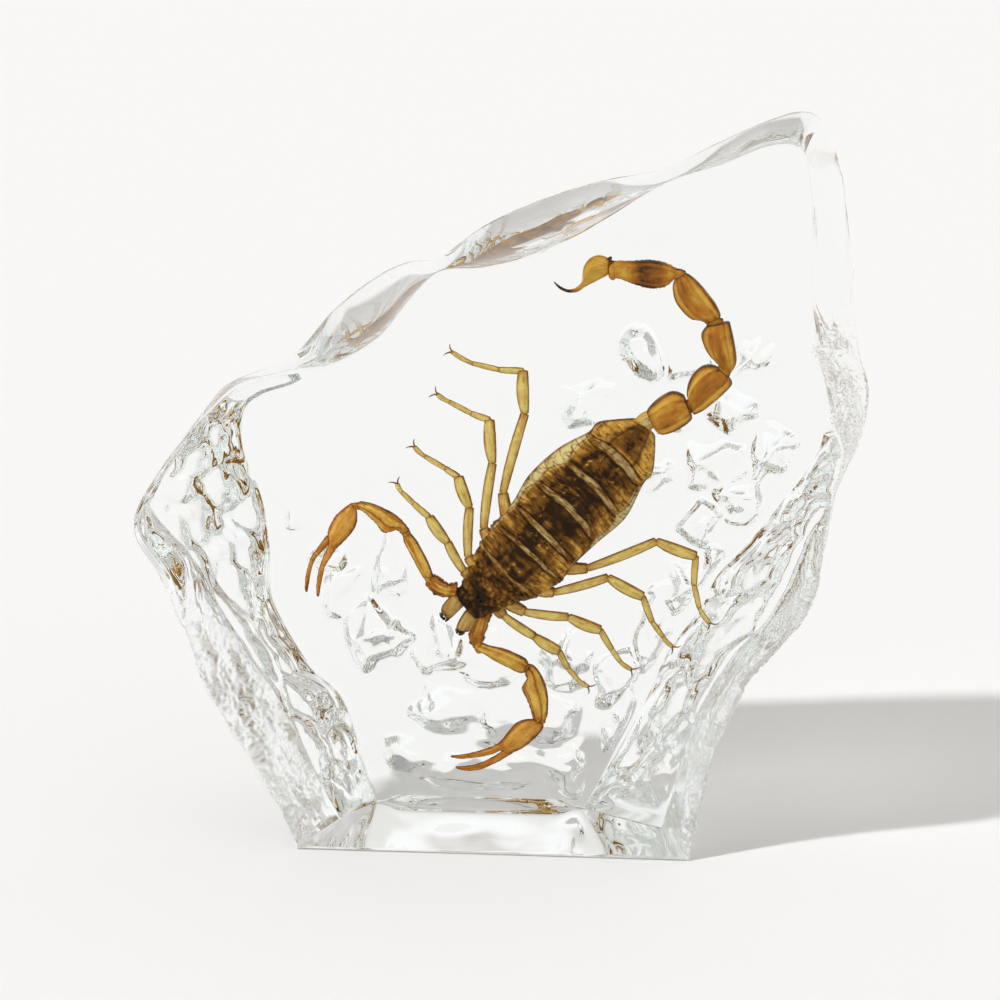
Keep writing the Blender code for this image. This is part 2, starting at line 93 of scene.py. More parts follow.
def makePiece(name, shell, material, slotName, *replaced):
    points, faces, values = shell
    mesh = bpy.data.meshes.new(name)
    corners = np.concatenate([part.ravel() for part in faces]).astype(np.int32)
    sizes = np.concatenate([np.full(len(part), part.shape[1]) for part in faces]).astype(np.int32)
    mesh.vertices.add(len(points))
    mesh.vertices.foreach_set("co", (points * millimetre).astype(np.float32).ravel())
    mesh.loops.add(len(corners))
    mesh.loops.foreach_set("vertex_index", corners)
    mesh.polygons.add(len(sizes))
    mesh.polygons.foreach_set("loop_start", (np.cumsum(sizes) - sizes).astype(np.int32))
    mesh.polygons.foreach_set("use_smooth", np.ones(len(sizes), bool))
    mesh.update(calc_edges=True)
    mesh.validate()
    for key, value in values.items():
        kind, field = ("FLOAT", "value") if value.ndim == 1 else ("FLOAT_VECTOR", "vector")
        mesh.attributes.new(key, kind, "POINT").data.foreach_set(field, value.astype(np.float32).ravel())
    mesh.materials.append(material)
    piece = addObject(name, mesh)
    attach(piece, "root")
    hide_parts(*replaced)
    triangles = int(np.sum(sizes - 2))
    print(f"{name}: {triangles} triangles")


def smoothStep(low, high, value):
    # From 0 at low to 1 at high, level at both.
    share = np.clip((value - low) / (high - low), 0, 1)
    return share * share * (3 - 2 * share)


def hump(value, width):
    # A bell curve: 1 where the value is nothing, a third of that a width away.
    return np.exp(-((value / width) ** 2))


def signedPower(value, power):
    # Keeps the sign. With a power under 1, a ring of cosines and sines turns squarish.
    return np.sign(value) * np.abs(value) ** power


def roundedEnd(gap, length):
    # A quarter circle, from nothing at the end itself to 1 at the given length from it.
    return np.sqrt(np.clip(1 - (1 - np.clip(gap / length, 0, 1)) ** 2, 0, 1))


def blend(first, second, share):
    return first * (1 - share) + second * share


def weighted(weights, parts):
    # The sum of named parts, each times the weight of the same name.
    return sum(weights[name] * part for name, part in parts.items())


def vectors(*parts):
    # Numbers and arrays, spread to one shape, become an array of vectors.
    return np.stack(np.broadcast_arrays(*parts), axis=-1)


def runLength(line):
    # How far along a line each of its points lies.
    return np.concatenate([[0], np.cumsum(np.linalg.norm(np.diff(line, axis=0), axis=1))])


def ringAngles(around):
    # The angles of the points of a ring, in one row, with their cosines and sines.
    angle = np.linspace(0, 2 * np.pi, around, endpoint=False)[None, :]
    return angle, np.cos(angle), np.sin(angle)


def curveThrough(points, place):
    # A Catmull-Rom curve through the points, read at places counted in points from the first.
    points = np.asarray(points, float)
    last = len(points) - 1
    index = np.clip(np.floor(place).astype(int), 0, last - 1)
    share = (place - index).reshape((-1,) + (1,) * (points.ndim - 1))
    before, start = points[np.maximum(index - 1, 0)], points[index]
    end, after = points[index + 1], points[np.minimum(index + 2, last)]
    return 0.5 * (
        2 * start
        + (end - before) * share
        + (2 * before - 5 * start + 4 * end - after) * share**2
        + (3 * start - before - 3 * end + after) * share**3
    )


def latticeValue(cell, seed):
    # A fixed value from 0 to 1 for each whole-numbered cell.
    mixed = cell[..., 0] * 73856093 ^ cell[..., 1] * 19349663 ^ cell[..., 2] * 83492791 ^ seed * 49979687
    mixed = (mixed ^ (mixed >> 13)) * 1274126177 & 0xFFFFFFFF
    mixed = (mixed ^ (mixed >> 16)) * 668265263 & 0xFFFFFFFF
    return (mixed >> 8 & 0xFFFF) / 65535


def softNoise(points, size, seed):
    # Lattice values blended smoothly between the eight corners round each point, from -1 to 1.
    scaled = points / size
    cell = np.floor(scaled).astype(np.int64)
    share = scaled - cell
    share = share * share * (3 - 2 * share)
    total = 0
    for corner in np.ndindex(2, 2, 2):
        weight = np.prod(np.where(corner, share, 1 - share), axis=-1)
        total = total + weight * latticeValue(cell + np.array(corner), seed)
    return total * 2 - 1


def cellDistances(points, size, seed):
    # The distances to the nearest and second nearest of points scattered one to a cell, in cells.
    scaled = points / size
    cell = np.floor(scaled).astype(np.int64)
    nearest = np.full(points.shape[:-1], 9.0)
    second = nearest.copy()
    for corner in np.ndindex(3, 3, 3):
        near = cell + np.array(corner) - 1
        spot = near + np.stack([latticeValue(near, seed + axis) for axis in range(3)], axis=-1)
        distance = np.linalg.norm(spot - scaled, axis=-1)
        second = np.minimum(second, np.maximum(nearest, distance))
        nearest = np.minimum(nearest, distance)
    return nearest, second


# Materials. Each effect that several of them share is a node group.


def newGroup(name, inputs, outputs):
    group = bpy.data.node_groups.new(name, "ShaderNodeTree")
    for way, sockets in (("INPUT", inputs), ("OUTPUT", outputs)):
        for socketName, kind, *default in sockets:
            kind = "NodeSocket" + kind
            socket = group.interface.new_socket(name=socketName, in_out=way, socket_type=kind)
            if default:
                socket.default_value = default[0]
    return group, group.nodes.new("NodeGroupInput"), group.nodes.new("NodeGroupOutput")


def addNode(tree, kind, links=None, **settings):
    # A shader node with its settings, and its inputs linked or set by name or number.
    node = tree.nodes.new("ShaderNode" + kind)
    for key, value in settings.items():
        setattr(node, key, value)
    for key, value in (links or {}).items():
        socket = node.inputs[key]
        if isinstance(value, bpy.types.NodeSocket):
            tree.links.new(value, socket)
        else:
            socket.default_value = value
    return node


def rampNode(tree, factor, stops):
    ramp = addNode(tree, "ValToRGB", {"Fac": factor})
    elements = ramp.color_ramp.elements
    while len(elements) < len(stops):
        elements.new(0.5)
    for element, (position, colour) in zip(elements, stops):
        element.position = position
        element.color = (*colour, 1)
    return ramp.outputs["Color"]


def shellToneGroup():
    # Chitin: from light to dark by the painted shade, mottled by noise, with streaks and thin dark lines
    # along the fibres. Where the accent is painted, its colour takes the place of the light one. The height
    # has fine pits.
    group, source, result = newGroup(
        "shellTone",
        [
            ("Light", "Color", (0.9, 0.5, 0.1, 1)),
            ("Middle", "Color", (0.4, 0.2, 0.04, 1)),
            ("Dark", "Color", (0.08, 0.03, 0.01, 1)),
            ("Accent", "Color", (0.4, 0.1, 0.02, 1)),
            ("Shade", "Float", 0.3),
            ("Accent Mask", "Float", 0.0),
            ("Fibre", "Vector"),
            ("Streak", "Float", 0.3),
            ("Lines", "Float", 0.3),
            ("Mottle", "Float", 0.3),
            ("Grain", "Float", 900.0),
        ],
        [("Color", "Color"), ("Height", "Float")],
    )
    place = addNode(group, "TexCoord").outputs["Object"]
    inputs = source.outputs
    coarse = addNode(
        group, "TexNoise", {"Vector": place, "Scale": inputs["Grain"], "Detail": 5.0, "Roughness": 0.65}
    )
    fineScale = addNode(group, "Math", {0: inputs["Grain"], 1: 5.0}, operation="MULTIPLY")
    fine = addNode(group, "TexNoise", {"Vector": place, "Scale": fineScale.outputs[0], "Detail": 3.0})
    centred = addNode(group, "Math", {0: coarse.outputs["Fac"], 1: 0.5}, operation="SUBTRACT")
    spread = addNode(group, "Math", {0: centred.outputs[0], 1: inputs["Mottle"]}, operation="MULTIPLY")
    streaks = addNode(
        group, "TexNoise", {"Vector": inputs["Fibre"], "Scale": 3.4, "Detail": 4.0, "Roughness": 0.6}
    )
    evenStreaks = addNode(group, "Math", {0: streaks.outputs["Fac"], 1: 0.5}, operation="SUBTRACT")
    streaked = addNode(
        group,
        "Math",
        {0: evenStreaks.outputs[0], 1: inputs["Streak"], 2: spread.outputs[0]},
        operation="MULTIPLY_ADD",
    )
    line = addNode(
        group, "TexNoise", {"Vector": inputs["Fibre"], "Scale": 2.1, "Detail": 3.0, "Roughness": 0.5}
    )
    fromLine = addNode(group, "Math", {0: line.outputs["Fac"], 1: 0.5}, operation="SUBTRACT")
    toLine = addNode(group, "Math", {0: fromLine.outputs[0]}, operation="ABSOLUTE")
    lines = addNode(
        group,
        "MapRange",
        {"Value": toLine.outputs[0], "From Max": 0.035, "To Min": inputs["Lines"], "To Max": 0.0},
    )
    lined = addNode(group, "Math", {0: lines.outputs[0], 1: streaked.outputs[0]}, operation="ADD")
    shade = addNode(group, "Math", {0: lined.outputs[0], 1: inputs["Shade"]}, operation="ADD", use_clamp=True)
    toMiddle = addNode(group, "MapRange", {"Value": shade.outputs[0], "From Min": 0.0, "From Max": 0.5})
    toDark = addNode(group, "MapRange", {"Value": shade.outputs[0], "From Min": 0.5, "From Max": 1.0})
    light = addNode(
        group, "Mix", {0: inputs["Accent Mask"], 6: inputs["Light"], 7: inputs["Accent"]}, data_type="RGBA"
    )
    first = addNode(
        group, "Mix", {0: toMiddle.outputs[0], 6: light.outputs[2], 7: inputs["Middle"]}, data_type="RGBA"
    )
    second = addNode(
        group, "Mix", {0: toDark.outputs[0], 6: first.outputs[2], 7: inputs["Dark"]}, data_type="RGBA"
    )
    pits = addNode(group, "Math", {0: coarse.outputs["Fac"], 1: fine.outputs["Fac"]}, operation="ADD")
    height = addNode(group, "Math", {0: pits.outputs[0], 1: streaks.outputs["Fac"]}, operation="ADD")
    group.links.new(second.outputs[2], result.inputs["Color"])
    group.links.new(height.outputs[0], result.inputs["Height"])
    return group


def newMaterial(name):
    material = bpy.data.materials.new(name)
    material.use_nodes = True
    return material, material.node_tree, material.node_tree.nodes["Principled BSDF"]


def chitinMaterial(name, values):
    values = {**chitinCommon, **values}
    material, tree, shader = newMaterial(name)
    tone = addNode(tree, "Group", node_tree=shellTone)
    for socketName in ("Light", "Middle", "Dark", "Accent"):
        tone.inputs[socketName].default_value = (*values[socketName.lower()], 1)
    for socketName in ("Mottle", "Streak", "Lines", "Grain"):
        tone.inputs[socketName].default_value = values[socketName.lower()]
    for socketName, attribute, output in (
        ("Shade", "shade", "Fac"),
        ("Accent Mask", "accent", "Fac"),
        ("Fibre", "fibre", "Vector"),
    ):
        painted = addNode(tree, "Attribute", attribute_name=attribute).outputs[output]
        tree.links.new(painted, tone.inputs[socketName])
    bump = addNode(
        tree,
        "Bump",
        {"Height": tone.outputs["Height"], "Strength": values["bump"], "Distance": values["pitDepth"]},
    )
    tree.links.new(tone.outputs["Color"], shader.inputs["Base Color"])
    tree.links.new(bump.outputs[0], shader.inputs["Normal"])
    shader.inputs["Roughness"].default_value = values["roughness"]
    shader.inputs["IOR"].default_value = values["ior"]
    shader.inputs["Subsurface Weight"].default_value = values["glow"]
    shader.inputs["Subsurface Radius"].default_value = values["glowRadius"]
    shader.inputs["Subsurface Scale"].default_value = values["glowDepth"]
    return material


resinLook = {
    "colour": (1.0, 1.0, 1.0),
    "ior": 1.49,
    "glint": (0.15, 0.15, 0.15),
    "roughness": 0.0,
    "hammerRoughness": 0.18,
    "absorption": (0.80, 0.93, 0.90),
    "density": 5.0,
}


def resinMaterial():
    # Clear resin: plain transmission and absorption, less smooth where the side walls are hammered.
    material, tree, shader = newMaterial("clearResin")
    shader.inputs["Base Color"].default_value = (*resinLook["colour"], 1)
    shader.inputs["Transmission Weight"].default_value = 1.0
    shader.inputs["IOR"].default_value = resinLook["ior"]
    shader.inputs["Specular Tint"].default_value = (*resinLook["glint"], 1)
    hammered = addNode(tree, "Attribute", attribute_name="hammered").outputs["Fac"]
    roughness = addNode(
        tree,
        "MapRange",
        {"Value": hammered, "To Min": resinLook["roughness"], "To Max": resinLook["hammerRoughness"]},
    )
    tree.links.new(roughness.outputs[0], shader.inputs["Roughness"])
    volume = addNode(tree, "VolumeAbsorption")
    volume.inputs["Color"].default_value = (*resinLook["absorption"], 1)
    volume.inputs["Density"].default_value = resinLook["density"]
    tree.links.new(volume.outputs[0], tree.nodes["Material Output"].inputs["Volume"])
    return material


shellTone = shellToneGroup()
chitinCommon = {
    "mottle": 0.8,
    "grain": 900.0,
    "bump": 0.5,
    "pitDepth": 0.00008,
    "roughness": 0.32,
    "ior": 1.12,  # against the resin round it
    "glow": 0.2,
    "glowRadius": (1.0, 0.5, 0.15),
    "glowDepth": 0.0002,
}
chitinLooks = {
    "legs": {
        "light": (1.0, 0.78, 0.24),
        "middle": (0.6, 0.28, 0.04),
        "dark": (0.2, 0.075, 0.012),
        "accent": (0.84, 0.36, 0.045),
        "mottle": 0.7,
        "streak": 0.7,
        "lines": 0.18,
        "bump": 0.4,
        "roughness": 0.34,
    },
    "arms": {
        "light": (1.0, 0.73, 0.15),
        "middle": (0.64, 0.24, 0.03),
        "dark": (0.2, 0.065, 0.012),
        "accent": (0.95, 0.5, 0.07),
        "streak": 0.9,
        "lines": 0.22,
        "grain": 800.0,
    },
    "pincers": {
        "light": (1.0, 0.58, 0.12),
        "middle": (0.64, 0.22, 0.027),
        "dark": (0.22, 0.06, 0.012),
        "accent": (0.93, 0.4, 0.045),
        "streak": 0.8,
        "lines": 0.2,
        "grain": 1100.0,
        "roughness": 0.3,
    },
    "trunk": {
        "light": (1.0, 0.55, 0.095),
        "middle": (0.29, 0.115, 0.014),
        "dark": (0.028, 0.0115, 0.002),
        "accent": (0.92, 0.76, 0.33),
        "mottle": 0.6,
        "streak": 0.8,
        "lines": 0.35,
        "grain": 1300.0,
        "bump": 0.7,
        "roughness": 0.36,
        "glow": 0.08,
    },
    "tail": {
        "light": (0.93, 0.56, 0.085),
        "middle": (0.6, 0.22, 0.025),
        "dark": (0.075, 0.034, 0.018),
        "accent": (0.98, 0.72, 0.15),
        "mottle": 0.6,
        "streak": 0.6,
        "lines": 0.1,
    },
    "jaws": {
        "light": (0.8, 0.52, 0.15),
        "middle": (0.42, 0.2, 0.045),
        "dark": (0.03, 0.012, 0.006),
        "accent": (0.7, 0.4, 0.12),
        "streak": 0.6,
        "lines": 0.2,
        "bump": 0.3,
        "roughness": 0.34,
    },
    "eyes": {
        "light": (0.02, 0.014, 0.01),
        "middle": (0.012, 0.009, 0.007),
        "dark": (0.006, 0.005, 0.004),
        "accent": (0.02, 0.014, 0.01),
        "mottle": 0.2,
        "streak": 0.1,
        "lines": 0.0,
        "bump": 0.05,
        "roughness": 0.12,
        "glow": 0.0,
    },
}
chitin = {name: chitinMaterial(name, values) for name, values in chitinLooks.items()}
clearResin = resinMaterial()
print("materials made")


# The resin block: a skin of columns round the outline and rows from the front face to the back face.

block = {
    "thickness": 25.0,
    "middle": (2.0, 0.0, 36.0),  # what the rings of both flat faces close on
    # the skin's rows and columns
    "steps": ((9, 0.42), (23, 0.85), (24, 0.42)),  # spacing up to a corner, where it isn't hammered
    "hammeredStep": 0.2,
    "baseStep": 1.1,
    "frontRows": 42,
    "backRows": 30,
    "roundRows": 5,
    "edgeRound": 0.5,
    "frontRings": (0.97, 0.9, 0.6, 0.3),
    "backRings": 100,
    # runs of the outline, from one corner's number to another's
    "hammeredRuns": ((0, 4.4), (24.2, 35)),
    "knappedRuns": ((0, 8.1), (25.2, 35)),
    "bubbleRuns": ((4.6, 6.4),),  # where the front wall has bowls too
    "flakeEnd": (20.5, 21.5),
    "hollowStart": (20.8, 21.8),
    "waveStart": (21.8, 22.4),
    # hammering: soft lumps and small pebbles, which chip the front edge
    "lumpDepth": 0.18,
    "lumpSize": 2.6,
    "pebbleDepth": 0.17,
    "pebbleSize": 0.4,
    "pebbleStretch": 2.6,
    "pebbleLevel": 0.45,
    "chipLevel": 0.2,
    "edgeWidth": 0.06,  # this and the next are shares of the front wall
    "arrisFade": 0.04,
    # knapping of the rear walls: large bowls and small ones, bent out of line
    "bowls": ((2.4, 4.4, 0.55, 31), (0.5, 1.9, 0.4, 33)),  # depth, size, the level between them, seed
    "bowlStretch": 1.5,
    "bend": 0.5,
    "bendAcross": 0.6,
    "bendSize": 3.1,
    "bubbleShare": 0.8,
    "bubbleFade": (0.1, 0.4),
    "knappedRoughness": 0.22,
    # hollows of the front bevels
    "flakeHollow": 0.8,
    "bevelHollow": 1.3,
    "bevelWave": 0.8,
    "bevelFlow": 1.0,
    "flowSize": 2.6,
    "flowScale": (1, 1, 0.3),  # drawn out down the bevel
    # how far up the relief of the walls fades in over the base, and over it behind
    "footFade": (0.0, 1.2),
    "rearFootFade": (1.0, 6.0),
    # the facet under the back: its reach forwards at its ends, how much more between them, and its height
    "baseCut": (0.4, 2.4),
    "baseCutHeight": 0.9,
    "baseCutEnds": 0.25,
    # the carved back
    "scoopGain": 2.2,
    "scoopReach": 1.1,
    "scoopWall": 0.82,
    "scoopFloor": 1.4,
    "scoopBends": ((0.6, 3.6, 11), (0.25, 1.4, 13)),  # how far noise bends the outlines, its size and seed
    "sideTurn": 0.35,
    "sideUneven": 0.14,
    "rimSoftness": 0.35,
    "rimWidth": 0.05,  # a share of the way in from the edge
    "facetDepth": 1.5,
    "facetSize": 3.4,
    "facetLevel": 0.2,
    "facetFade": (0.1, 0.7),
    "creaseDepth": 0.3,
    "creaseWidth": 0.12,
    # corners clockwise from the left foot: front (x, z), arris (x, y, z), back (x, z)
    "corners": (
        ((-22.0, 0.0), (-18.4, 3.0, 0.0), (-15.0, 0.0)),
        ((-24.2, 5.0), (-20.8, 3.0, 5.0), (-16.4, 4.6)),
        ((-28.8, 12.6), (-24.2, 3.0, 12.4), (-18.6, 12.0)),
        ((-31.8, 18.0), (-27.8, 3.0, 18.2), (-22.4, 16.0)),
        ((-34.3, 25.0), (-31.8, 3.0, 24.8), (-26.4, 23.5)),
        ((-36.4, 30.4), (-35.2, 2.0, 30.2), (-26.6, 29.6)),
        ((-39.2, 36.2), (-39.0, 0.0, 35.6), (-27.4, 35.6)),
        ((-35.8, 42.9), (-37.2, 2.0, 40.4), (-29.4, 41.0)),
        ((-31.0, 48.8), (-33.4, 2.0, 45.8), (-29.4, 45.2)),
        ((-27.2, 52.2), (-30.4, 2.0, 48.9), (-27.4, 47.2)),
        ((-21.8, 53.6), (-22.4, -9.0, 54.3), (-22.8, 49.2)),
        ((-17.4, 54.4), (-19.6, 6.5, 56.2), (-19.0, 54.6)),
        ((-12.4, 57.4), (-14.9, 7.0, 59.9), (-14.2, 58.6)),
        ((-9.4, 61.2), (-10.9, 2.5, 62.5), (-10.8, 60.2)),
        ((-6.0, 64.5), (-6.4, -9.0, 65.4), (-7.0, 61.6)),
        ((-1.4, 65.1), (-3.0, 5.5, 66.0), (-2.6, 64.4)),
        ((4.0, 66.6), (2.4, 8.0, 68.3), (3.0, 66.8)),
        ((10.8, 70.2), (9.6, 6.5, 71.0), (10.0, 69.2)),
        ((17.6, 74.3), (17.2, -8.0, 75.1), (16.6, 70.6)),
        ((23.4, 76.4), (23.0, -1.0, 76.9), (22.6, 74.2)),
        ((28.2, 78.4), (27.8, 1.0, 78.8), (27.4, 76.4)),
        ((31.4, 78.2), (32.2, 0.0, 80.0), (31.6, 77.4)),
        ((32.4, 75.2), (34.8, 2.0, 76.4), (34.0, 74.8)),
        ((32.9, 69.0), (36.5, 4.0, 68.0), (35.4, 67.8)),
        ((33.0, 62.0), (37.2, 3.0, 60.0), (35.6, 60.4)),
        ((33.9, 56.0), (38.0, 2.0, 53.8), (35.4, 54.0)),
        ((35.2, 50.6), (39.2, 0.0, 49.6), (34.8, 48.2)),
        ((36.8, 45.4), (38.3, -3.0, 44.6), (34.2, 42.6)),
        ((35.8, 40.6), (35.8, 2.0, 39.0), (31.4, 38.0)),
        ((34.4, 31.2), (32.2, 3.0, 31.8), (26.6, 31.6)),
        ((33.0, 27.2), (30.6, 3.0, 27.8), (22.8, 27.4)),
        ((28.9, 22.2), (28.0, 3.0, 23.2), (20.6, 23.0)),
        ((26.6, 19.0), (25.0, 3.0, 19.8), (17.6, 18.6)),
        ((24.1, 13.0), (21.6, 3.0, 13.6), (15.0, 12.4)),
        ((22.4, 6.5), (19.4, 3.0, 6.6), (11.6, 6.0)),
        ((21.0, 0.0), (17.6, 3.0, 0.0), (8.2, 0.0)),
    ),
    # scoops in the back: x, z, half width, half height, depth, roll in degrees
    "scoops": (
        (8.9, 46.8, 3.3, 3.8, 0.7, 20),
        (14.7, 53.0, 2.6, 3.4, 0.65, -15),
        (19.4, 52.4, 2.8, 3.9, 0.6, 12),
        (26.4, 52.6, 3.6, 2.7, 0.55, 30),
        (24.6, 46.8, 3.4, 3.8, 0.7, -25),
        (18.0, 46.0, 3.7, 3.2, 0.6, 10),
        (15.8, 39.6, 4.0, 3.4, 0.6, 40),
        (23.0, 40.4, 4.2, 3.6, 0.65, -10),
        (-23.4, 33.0, 1.7, 1.9, 0.5, 0),
        (-13.2, 27.4, 2.8, 3.7, 0.6, 15),
        (-18.6, 24.6, 3.4, 3.0, 0.55, -30),
        (-14.8, 19.8, 4.6, 3.4, 1.1, 35),
        (-7.8, 18.6, 2.9, 3.4, 0.9, -10),
        (-2.4, 17.2, 2.7, 3.5, 0.9, 15),
        (-7.4, 11.6, 3.0, 3.6, 1.1, -12),
        (-1.2, 10.8, 3.0, 3.6, 1.0, 25),
        (6.2, 17.4, 3.4, 3.6, 0.9, -20),
        (11.8, 15.6, 2.6, 3.8, 0.9, 18),
        (4.6, 10.4, 2.9, 3.8, 1.0, 5),
        (-11.4, 5.1, 2.8, 3.4, 0.8, 10),
        (-5.6, 4.3, 2.9, 3.4, 0.8, -8),
        (28.6, 42.4, 2.6, 3.2, 0.9, 20),
        (25.4, 36.0, 2.6, 3.4, 0.9, -20),
        (21.6, 33.6, 2.4, 3.0, 0.8, 30),
        (22.2, 27.8, 2.0, 3.4, 0.9, 15),
        (18.6, 26.6, 2.2, 4.2, 0.9, 25),
        (16.2, 20.8, 2.4, 4.0, 0.9, 20),
        (12.6, 9.8, 2.2, 3.8, 0.9, 22),
        (0.2, 4.2, 2.8, 3.4, 0.8, 6),
        (5.8, 4.4, 2.7, 3.4, 0.8, -14),
        (-20.2, 28.6, 2.4, 2.2, 0.5, 20),
    ),
}


def insideRuns(runs, place):
    # 1 between the corners of a run and 0 away from it, with half a corner's softness at each end.
    share = np.zeros_like(place)
    for low, high in runs:
        share = np.maximum(share, np.clip(np.minimum(place - low + 0.5, high - place + 0.5), 0, 1))
    return share


def outlinePlaces():
    # Places along the outline, about evenly spaced, closer together where the wall is hammered.
    corners = [np.array(front) for front, _, _ in block["corners"]]
    places = []
    for index, (start, end) in enumerate(zip(corners, corners[1:])):
        if any(low - 1 < index < high for low, high in block["hammeredRuns"]):
            step = block["hammeredStep"]
        else:
            step = next(step for last, step in block["steps"] if index < last)
        count = max(2, round(float(np.linalg.norm(end - start)) / step))
        places.append(index + np.arange(count) / count)
    return np.concatenate([*places, [len(corners) - 1.0]])


def reliefDepth(x, z):
    # Each scoop has five to seven flat sides that slope down to a flat bottom, turned and set unevenly by
    # sines of their numbers, and its outline is bent by noise. The deepest one wins, so ridges stand between.
    # Inside the scoops lie facets, the squared distance to scattered points, with creases where two meet.
    place = vectors(x, 0, z)
    for bend, size, seed in block["scoopBends"]:
        x = x + bend * softNoise(place, size, seed)
        z = z + bend * softNoise(place, size, seed + 1)
    depth = np.zeros_like(x)
    for number, (centreX, centreZ, halfWidth, halfHeight, scoop, roll) in enumerate(block["scoops"]):
        turn = math.radians(roll)
        across = ((x - centreX) * math.cos(turn) - (z - centreZ) * math.sin(turn)) / halfWidth
        along = ((x - centreX) * math.sin(turn) + (z - centreZ) * math.cos(turn)) / halfHeight
        sides = 5 + number % 3
        reach = np.full_like(x, -np.inf)
        for side in range(sides):
            facing = 2 * math.pi * side / sides + block["sideTurn"] * math.sin(1.7 * number + 2.3 * side)
            far = block["scoopReach"] * (1 + block["sideUneven"] * math.sin(number + 2.9 * side))
            reach = np.maximum(reach, (across * math.cos(facing) + along * math.sin(facing)) / far)
        slope = np.clip((1 - reach) / block["scoopWall"], 0, block["scoopFloor"])
        depth = np.maximum(depth, scoop * block["scoopGain"] * slope)
    depth = depth**2 / (depth + block["rimSoftness"])
    nearest, second = cellDistances(place, block["facetSize"], 17)
    facets = block["facetDepth"] * (nearest**2 - block["facetLevel"])
    creases = block["creaseDepth"] * hump(second - nearest, block["creaseWidth"])
    return depth + (facets + creases) * smoothStep(*block["facetFade"], depth)


def outlineCurves(place):
    # Three curves through the same corners, the front edge, the arris and the back edge, each followed by the
    # straight base, and the share of the way along the base.
    half = block["thickness"] / 2
    fronts = [(x, -half, z) for (x, z), _, _ in block["corners"]]
    arrises = [arris for _, arris, _ in block["corners"]]
    backs = [(x, half, z) for _, _, (x, z) in block["corners"]]
    baseCount = round((fronts[-1][0] - fronts[0][0]) / block["baseStep"])
    baseCount += (len(place) + baseCount - 1) % 2  # the back face joins the columns in pairs
    baseShare = (1 - np.cos(np.pi * np.arange(1, baseCount) / baseCount)) / 2
    curves = []
    for points in (fronts, arrises, backs):
        points = np.array(points, float)
        wall = curveThrough(points, place)
        wall[:, 2] = np.maximum(wall[:, 2], 0)
        base = points[-1] + (points[0] - points[-1]) * baseShare[:, None]
        curves.append(np.concatenate([wall, base]))
    return curves, baseShare


def roundedEdge(corner, towards, share):
    # A quadratic curve from the flat face to the wall, with the sharp corner as its control point.
    radius = block["edgeRound"]
    face = block["middle"] - corner
    face[:, 1] = 0
    face = radius * face / np.linalg.norm(face, axis=1, keepdims=True)
    wall = towards - corner
    wall = radius * wall / np.linalg.norm(wall, axis=1, keepdims=True)
    return corner + face * (1 - share) ** 2 + wall * share**2


def wallRows(front, arris, back):
    # Rows run down each column over a rounded front edge, the front wall, the arris, the back wall and a
    # rounded back edge. With each goes its share of the way down the front wall and down the back wall.
    radius, frontRows, backRows = block["edgeRound"], block["frontRows"], block["backRows"]
    rounding = np.linspace(0, 1, block["roundRows"])
    rows = [(roundedEdge(front, arris, share), 0, 0) for share in rounding]
    rounded = radius / np.linalg.norm(arris - front, axis=1, keepdims=True)
    for step in range(1, frontRows + 1):
        share = rounded + (1 - rounded) * step / frontRows
        rows.append((front + (arris - front) * share, step / frontRows, 0))
    rounded = radius / np.linalg.norm(back - arris, axis=1, keepdims=True)
    for step in range(1, backRows):
        share = (1 - rounded) * step / backRows
        rows.append((arris + (back - arris) * share, 1, step / backRows))
    rows += [(roundedEdge(back, arris, share), 1, 1) for share in rounding[::-1]]
    grid, frontShare, backShare = (np.array(part, float) for part in zip(*rows))
    return grid, frontShare[:, None], backShare[:, None]


def outwardNormals(grid):
    # The walls' own directions, all turned out of the block.
    alongColumns = np.roll(grid, -1, axis=1) - np.roll(grid, 1, axis=1)
    alongRows = np.gradient(grid, axis=0)
    normal = np.cross(alongRows, alongColumns)
    normal /= np.linalg.norm(normal, axis=2, keepdims=True) + 1e-9
    return normal * np.sign(np.sum(normal * (grid - block["middle"]), axis=(0, 2)).mean())


